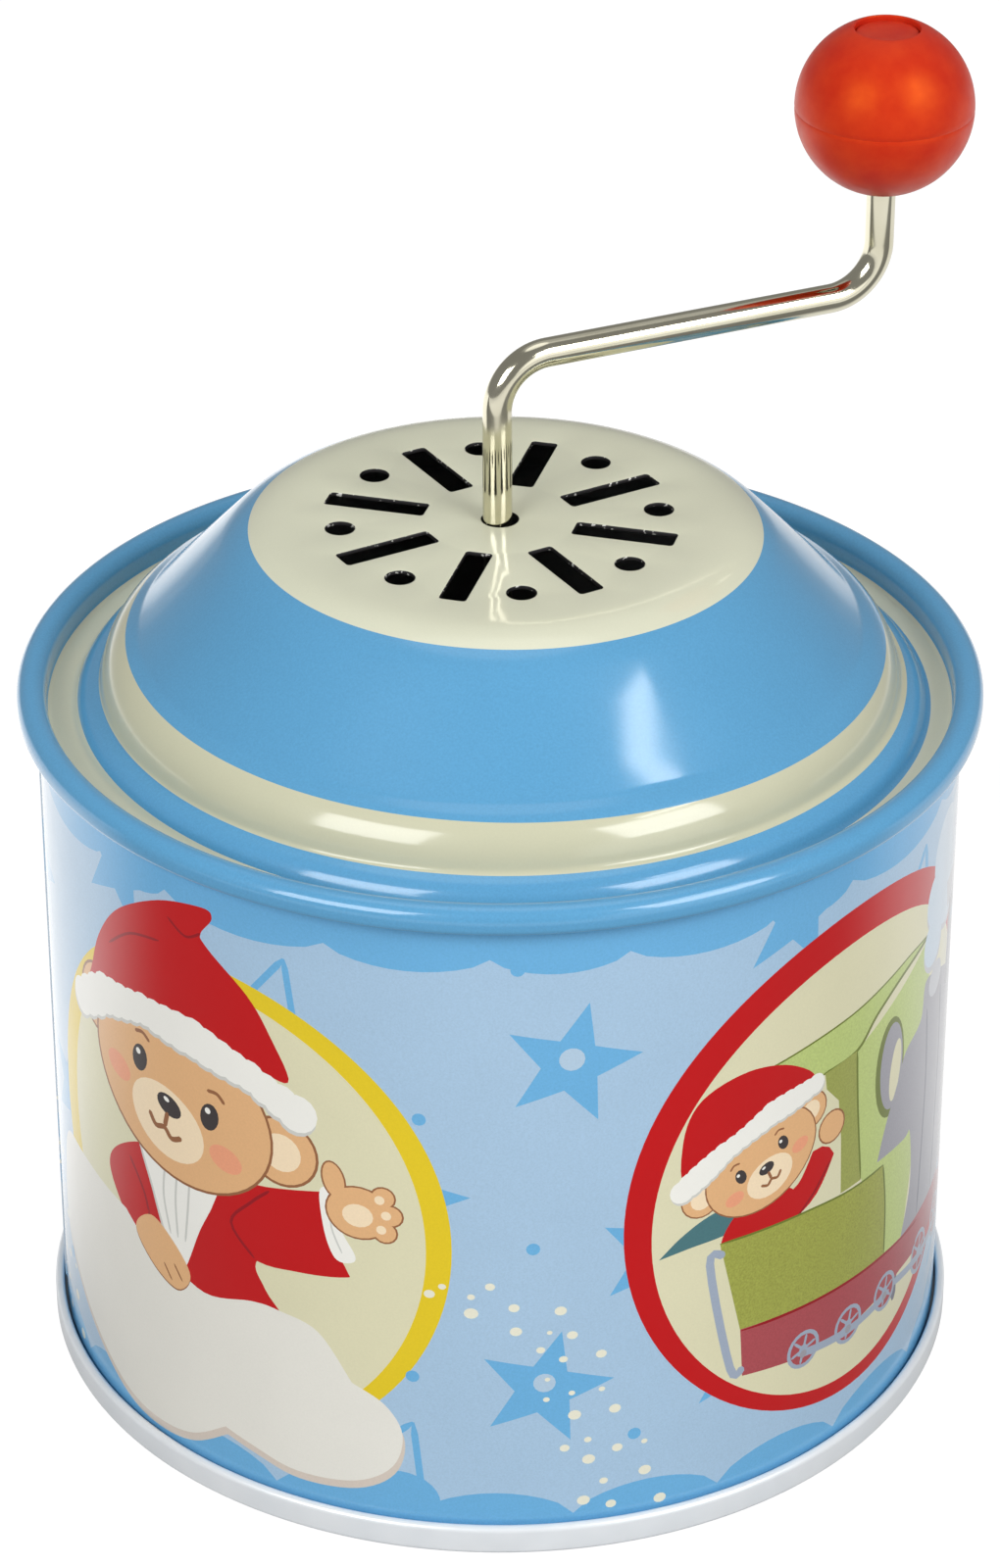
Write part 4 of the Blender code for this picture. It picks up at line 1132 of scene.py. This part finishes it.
def make_wall(finishes):
    """The printed sheet, rolled up and lapped at the side seam, as one closed skin with ink colours in it."""
    first = SEAM_AT - SEAM_HALF
    points, triangles, ink = printed_sheet(first, first + TURN + 1.8 * SEAM_HALF)
    outer, normals, inner = rolled_up(points)
    count = len(points)
    backs = triangles[:, ::-1]
    ends = np.concatenate([triangles[:, pair] for pair in ([0, 1], [1, 2], [2, 0])])
    sides = {tuple(edge) for edge in ends}
    faces = [tuple(face) for face in triangles] + [tuple(face) for face in backs + count]
    faces += [(b, a, a + count, b + count) for a, b in sides if (b, a) not in sides]
    mesh = bpy.data.meshes.new("wall")
    mesh.from_pydata(np.concatenate([outer, inner]) * MM, [], faces)
    mesh.shade_smooth()
    for finish in finishes:
        mesh.materials.append(finish)
    slots = np.zeros(len(faces), np.int32)
    slots[len(triangles) :] = 1
    mesh.polygons.foreach_set("material_index", slots)

    palette = np.array([[*linear(rgb), grain] for rgb, grain in INK.values()])
    corner_ink = np.full(len(mesh.loops), list(INK).index("white_shade"))
    corner_ink[: triangles.size] = np.repeat(ink, 3)
    colours = mesh.color_attributes.new("ink", "FLOAT_COLOR", "CORNER")
    colours.data.foreach_set("color", palette[corner_ink].ravel())
    # the cut edges keep a zero here, which leaves Blender's own normal
    corners = np.zeros((len(mesh.loops), 3))
    corners[: triangles.size] = normals[triangles.ravel()]
    corners[triangles.size : 2 * triangles.size] = -normals[backs.ravel()]
    mesh.normals_split_custom_set(corners)
    wall = bpy.data.objects.new("wall", mesh)
    bpy.context.collection.objects.link(wall)
    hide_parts("body_shell")
    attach(wall, "case")


def make_base(finishes):
    """Base seam ring and the bottom plate, with a pressed step and the holes for the movement's screws."""
    lip, outer, inner = SEAM_RING_FOLDS
    upper = arc(GROOVE[1] + lip, SEAM_RING_TOP - lip, lip, 180, 90, 4)
    upper += arc(BASE_R - outer, SEAM_RING_TOP - outer, outer, 90, 0, 7)
    upper += arc(BASE_R - outer, outer, outer, 0, -90, 7)
    upper += arc(SEAM_RING_R + inner, inner, inner, -90, -180, 5)
    floor = pressed([(radius, FLOOR_TOP - SHEET) for radius in (SEAM_RING_R, FLOOR_FLAT_R + 1, FLOOR_FLAT_R)])
    bm = bmesh.new()
    groove = [(radius, WALL_LOW - GROOVE_SPARE) for radius in reversed(GROOVE)]
    lathe(bm, [groove[0], *upper, *floor], closed=False)
    lathe(bm, [*groove, (GROOVE[0], FLOOR_TOP), (FLOOR_FLAT_R, FLOOR_TOP)], closed=False, material=1)
    spots = [box_mm(f"mount_screw_{number}") for number in (1, 2, 3)]
    openings = [round_hole(*((low + high) / 2).xy, SCREW_HOLE_R, 28) for low, high in spots]
    pierced_sheet(bm, FLOOR_TOP, FLOOR_TOP - SHEET, FLOOR_FLAT_R, FLOOR_FLAT_R, openings, 0.05, 1)
    weld(bm)
    base = new_object("base", bm, finishes)
    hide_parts("bottom_plate")
    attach(base, "case")


def make_crank(finish):
    """One bent wire: up the axis, leaning a little in its hole, along the level arm and up into the knob."""
    foot = Vector((0, 0, ROD_BOX[0].z))
    corners = (Vector((*ROD_LEAN, ARM_Z)), Vector((KNOB_AT.x, KNOB_AT.y, ARM_Z)))
    end = Vector((KNOB_AT.x, KNOB_AT.y, ROD_BOX[1].z))
    route = [foot]
    for before, corner, after in ((foot, *corners), (*corners, end)):
        arrive, leave = (corner - before).normalized(), (after - corner).normalized()
        centre = corner + BEND_R * (leave - arrive)
        for step in range(25):
            turn = math.pi / 2 * step / 24
            route.append(centre + BEND_R * (arrive * math.sin(turn) - leave * math.cos(turn)))
    route.append(end)
    crank = new_object("crank_wire", sweep(route, ROD_R), [finish], 60.0)
    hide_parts("crank_rod")
    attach(crank, "crank")


def make_knob(finish):
    """Moulded ball with a parting line, a flat top round the plug's recess, and a counterbore below."""
    foot_z = FOOT_CUT - KNOB_R
    top, line, bottom = [math.degrees(math.asin(z / KNOB_R)) for z in (KNOB_FLAT, PARTING_LINE_Z, foot_z)]
    half = math.degrees(PARTING_LINE_HALF / KNOB_R)
    edge_r = KNOB_R * math.cos(math.radians(top))
    recess_z = KNOB_FLAT - RECESS_DEPTH
    line_r = (KNOB_R - PARTING_LINE_DEPTH) * math.cos(math.radians(line))
    profile = [(RECESS_R, recess_z), (RECESS_R, KNOB_FLAT - 0.1), (RECESS_R + 0.08, KNOB_FLAT)]
    profile += [(edge_r - 0.08, KNOB_FLAT), *arc(0, 0, KNOB_R, top - 1.0, line + half, 22)]
    profile += [(line_r, PARTING_LINE_Z), *arc(0, 0, KNOB_R, line - half, bottom, 30)]
    profile += [(COUNTERBORE_R, foot_z), (COUNTERBORE_R, COUNTERBORE_Z)]
    profile += [(BORE_R, COUNTERBORE_Z), (BORE_R, recess_z)]
    knob = turned("ball_knob", profile, 96, finish, True)
    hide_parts("crank_knob")
    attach(knob, "knob")


def make_plug(finish):
    """The pressed-in plug that hides the end of the wire, slightly dished."""
    radius = RECESS_R - PLUG_GAP
    top = KNOB_FLAT - PLUG_SUNK
    profile = [(0, top - 0.12), (radius * 0.6, top - 0.1), (radius - 0.5, top), (radius - 0.2, top - 0.03)]
    profile += [(radius, top - 0.25), (radius, top - PLUG_THICK), (0, top - PLUG_THICK)]
    plug = turned("knob_plug", profile, 64, finish, False)
    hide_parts("knob_cap")
    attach(plug, "knob")


def dress_cad_nodes(by_slot):
    """The movement's own solids keep their shapes and get finished materials."""
    for row in frame["record"]["subparts"]:
        node = frame["nodes"][row["node"]]
        finish = by_slot.get(row["material_slot"])
        if finish is None:
            continue
        node.data.materials.clear()
        node.data.materials.append(finish)


# ---------------------------------------------------------------- stage

# lamps: name, azimuth and elevation in degrees, distance and size in metres, watts, in reflections only
LAMPS = (
    ("softbox_right", 49, 33, 0.9, (0.45, 0.4), 4.3, False),
    ("softbox_left", -37, 33, 0.9, (0.45, 0.4), 4.1, False),
    ("window", 55.8, 47.8, 0.43, (0.11, 0.024), 0.085, True),
)
LAMPS_AIM = (0, 0, 0.07)
WORLD_EVEN = 0.32
BACKDROP = 1.2
# azimuth and elevation of the middle, degrees to the full and to the outer edge, strength
CARDS = ((180.0, 80.0, 14.0, 18.0, 1.0), (180.0, 66.0, 16.0, 26.0, 0.3), (42.0, 6.0, 15.0, 24.0, 1.3))
OVERHEAD = (180.0, 77.0, 18.0, 22.0, 2.0)
FLOOR_HALF = 4000.0
FLOOR_SEEN = 0.9
FLOOR_LIGHT = 0.47
# the floor as the can mirrors it: brightness on the left and right, and where it changes on the way back
FLOOR_MIRRORED = (1.15, 0.75)
FLOOR_MIDDLE = (-20.0, 30.0)
FLOOR_BEHIND = (-35.0, 35.0)
FLOOR_END = (350.0, 900.0)
FLOOR_END_DIM = 0.3
FLOOR_AHEAD = (-240.0, -195.0)
FLOOR_FAR = 0.75
FLOOR_NEAR = 0.02


def heading(azimuth, elevation):
    """The direction at an azimuth, 0 at the front and + to the right, and an elevation, in degrees."""
    a, e = math.radians(azimuth), math.radians(elevation)
    return Vector((math.sin(a) * math.cos(e), -math.cos(a) * math.cos(e), math.sin(e)))


def make_floor():
    """A pale sweep. The camera sees it nearly white, with a faint shadow, and the can mirrors it as grey."""
    bm = bmesh.new()
    bmesh.ops.create_grid(bm, x_segments=1, y_segments=1, size=FLOOR_HALF)
    finish = Finish("floor", Roughness=0.9, Specular_IOR_Level=0.1)
    ray = finish.node("LightPath").outputs
    place = finish.node("SeparateXYZ", Vector=finish.place()).outputs

    def fade(axis, start, end, low, high):
        return finish.span(place[axis], low, high, start * MM, end * MM, "SMOOTHSTEP")

    sides = fade("X", *FLOOR_MIDDLE, *FLOOR_MIRRORED)
    behind = finish.math("MULTIPLY", fade("Y", *FLOOR_BEHIND, 0.0, 1.0), sides)
    behind = finish.math("MULTIPLY", behind, fade("Y", *FLOOR_END, 1.0, FLOOR_END_DIM))
    mirror = finish.math("ADD", behind, fade("Y", *FLOOR_AHEAD, FLOOR_FAR, FLOOR_NEAR))
    glow = finish.math("MULTIPLY", ray["Is Glossy Ray"], mirror)
    for name, level in (("Is Camera Ray", FLOOR_SEEN), ("Is Diffuse Ray", FLOOR_LIGHT)):
        glow = finish.math("ADD", glow, finish.math("MULTIPLY", ray[name], level))
    finish.colour(finish.noise(60.0, 2.0), (118, 118, 118), (124, 124, 124))
    finish.set("Emission Color", (1.0, 1.0, 1.0, 1.0))
    finish.set("Emission Strength", glow)
    floor = new_object("floor", bm, [finish.material])
    floor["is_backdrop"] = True


def make_world():
    """A pale studio. Cards round the can show in its reflections only, so that they don't light it twice."""
    world = bpy.data.worlds.new("studio")
    bpy.context.scene.world = world
    world.use_nodes = True
    studio = Nodes(world.node_tree)
    aim = studio.node("TexCoord").outputs["Generated"]
    ray = studio.node("LightPath").outputs
    light = studio.math("ADD", WORLD_EVEN, studio.math("MULTIPLY", ray["Is Camera Ray"], BACKDROP))
    patches = [("Is Diffuse Ray", OVERHEAD)] + [("Is Glossy Ray", card) for card in CARDS]
    for name, (azimuth, elevation, inner, outer, strength) in patches:
        towards = studio.vector("DOT_PRODUCT", aim, heading(azimuth, elevation))
        edges = [math.cos(math.radians(edge)) for edge in (outer, inner)]
        patch = studio.span(towards, 0.0, strength, *edges, "SMOOTHSTEP")
        light = studio.math("ADD", light, studio.math("MULTIPLY", ray[name], patch))
    background = studio.node("Background", Strength=light)
    studio.node("OutputWorld", Surface=background.outputs[0])


def make_softbox(name, azimuth, elevation, distance, size, strength, mirrored_only):
    """A rectangular lamp aimed at the can."""
    lamp = bpy.data.lights.new(name, "AREA")
    lamp.shape = "RECTANGLE"
    lamp.size, lamp.size_y = size
    lamp.energy = strength
    holder = bpy.data.objects.new(name, lamp)
    bpy.context.collection.objects.link(holder)
    away = heading(azimuth, elevation)
    holder.location = Vector(LAMPS_AIM) + away * distance
    holder.rotation_euler = away.to_track_quat("Z", "Y").to_euler()
    holder.visible_camera = holder.visible_diffuse = not mirrored_only


# the camera that the photograph's circles give, in metres, with its tilt up from straight down
CAMERA_AT = (0.0, -0.45567, 0.32455)
CAMERA_TILT = math.radians(60.164)
CAMERA_LENS = 114.76


def make_camera():
    camera = bpy.data.cameras.new("camera")
    camera.lens = CAMERA_LENS
    camera.sensor_width = 36.0
    camera.clip_start = 0.02
    camera.clip_end = 20.0
    holder = bpy.data.objects.new("camera", camera)
    bpy.context.collection.objects.link(holder)
    holder.location = CAMERA_AT
    holder.rotation_euler = (CAMERA_TILT, 0.0, 0.0)
    bpy.context.scene.camera = holder


def main():
    bpy.context.scene.view_settings.view_transform = "Standard"
    make_camera()
    make_world()
    make_floor()
    for lamp in LAMPS:
        make_softbox(*lamp)
    tin = bare_tin()
    wire = plated_wire()
    red = red_plastic()
    dress_cad_nodes(
        {
            "plated_steel": wire,
            "spring_steel": spring_steel(),
            "brass": turned_brass(),
            "cast_zinc": cast_zinc(),
            "acetal": acetal(),
            "red_plastic": red,
            "base_tin": tin,
            "lid_tin": tin,
            "body_tin": tin,
        }
    )
    make_lid([lid_print(), tin, cut_edge_painted_shade()])
    make_wall([wall_print(), tin])
    make_base([pale_lacquer(), tin])
    make_crank(wire)
    make_knob(red)
    make_plug(red)


main()

boxes = {"cad": cad_box, "visual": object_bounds()}
{key: [[float(x) for x in corner] for corner in box] for key, box in boxes.items()}
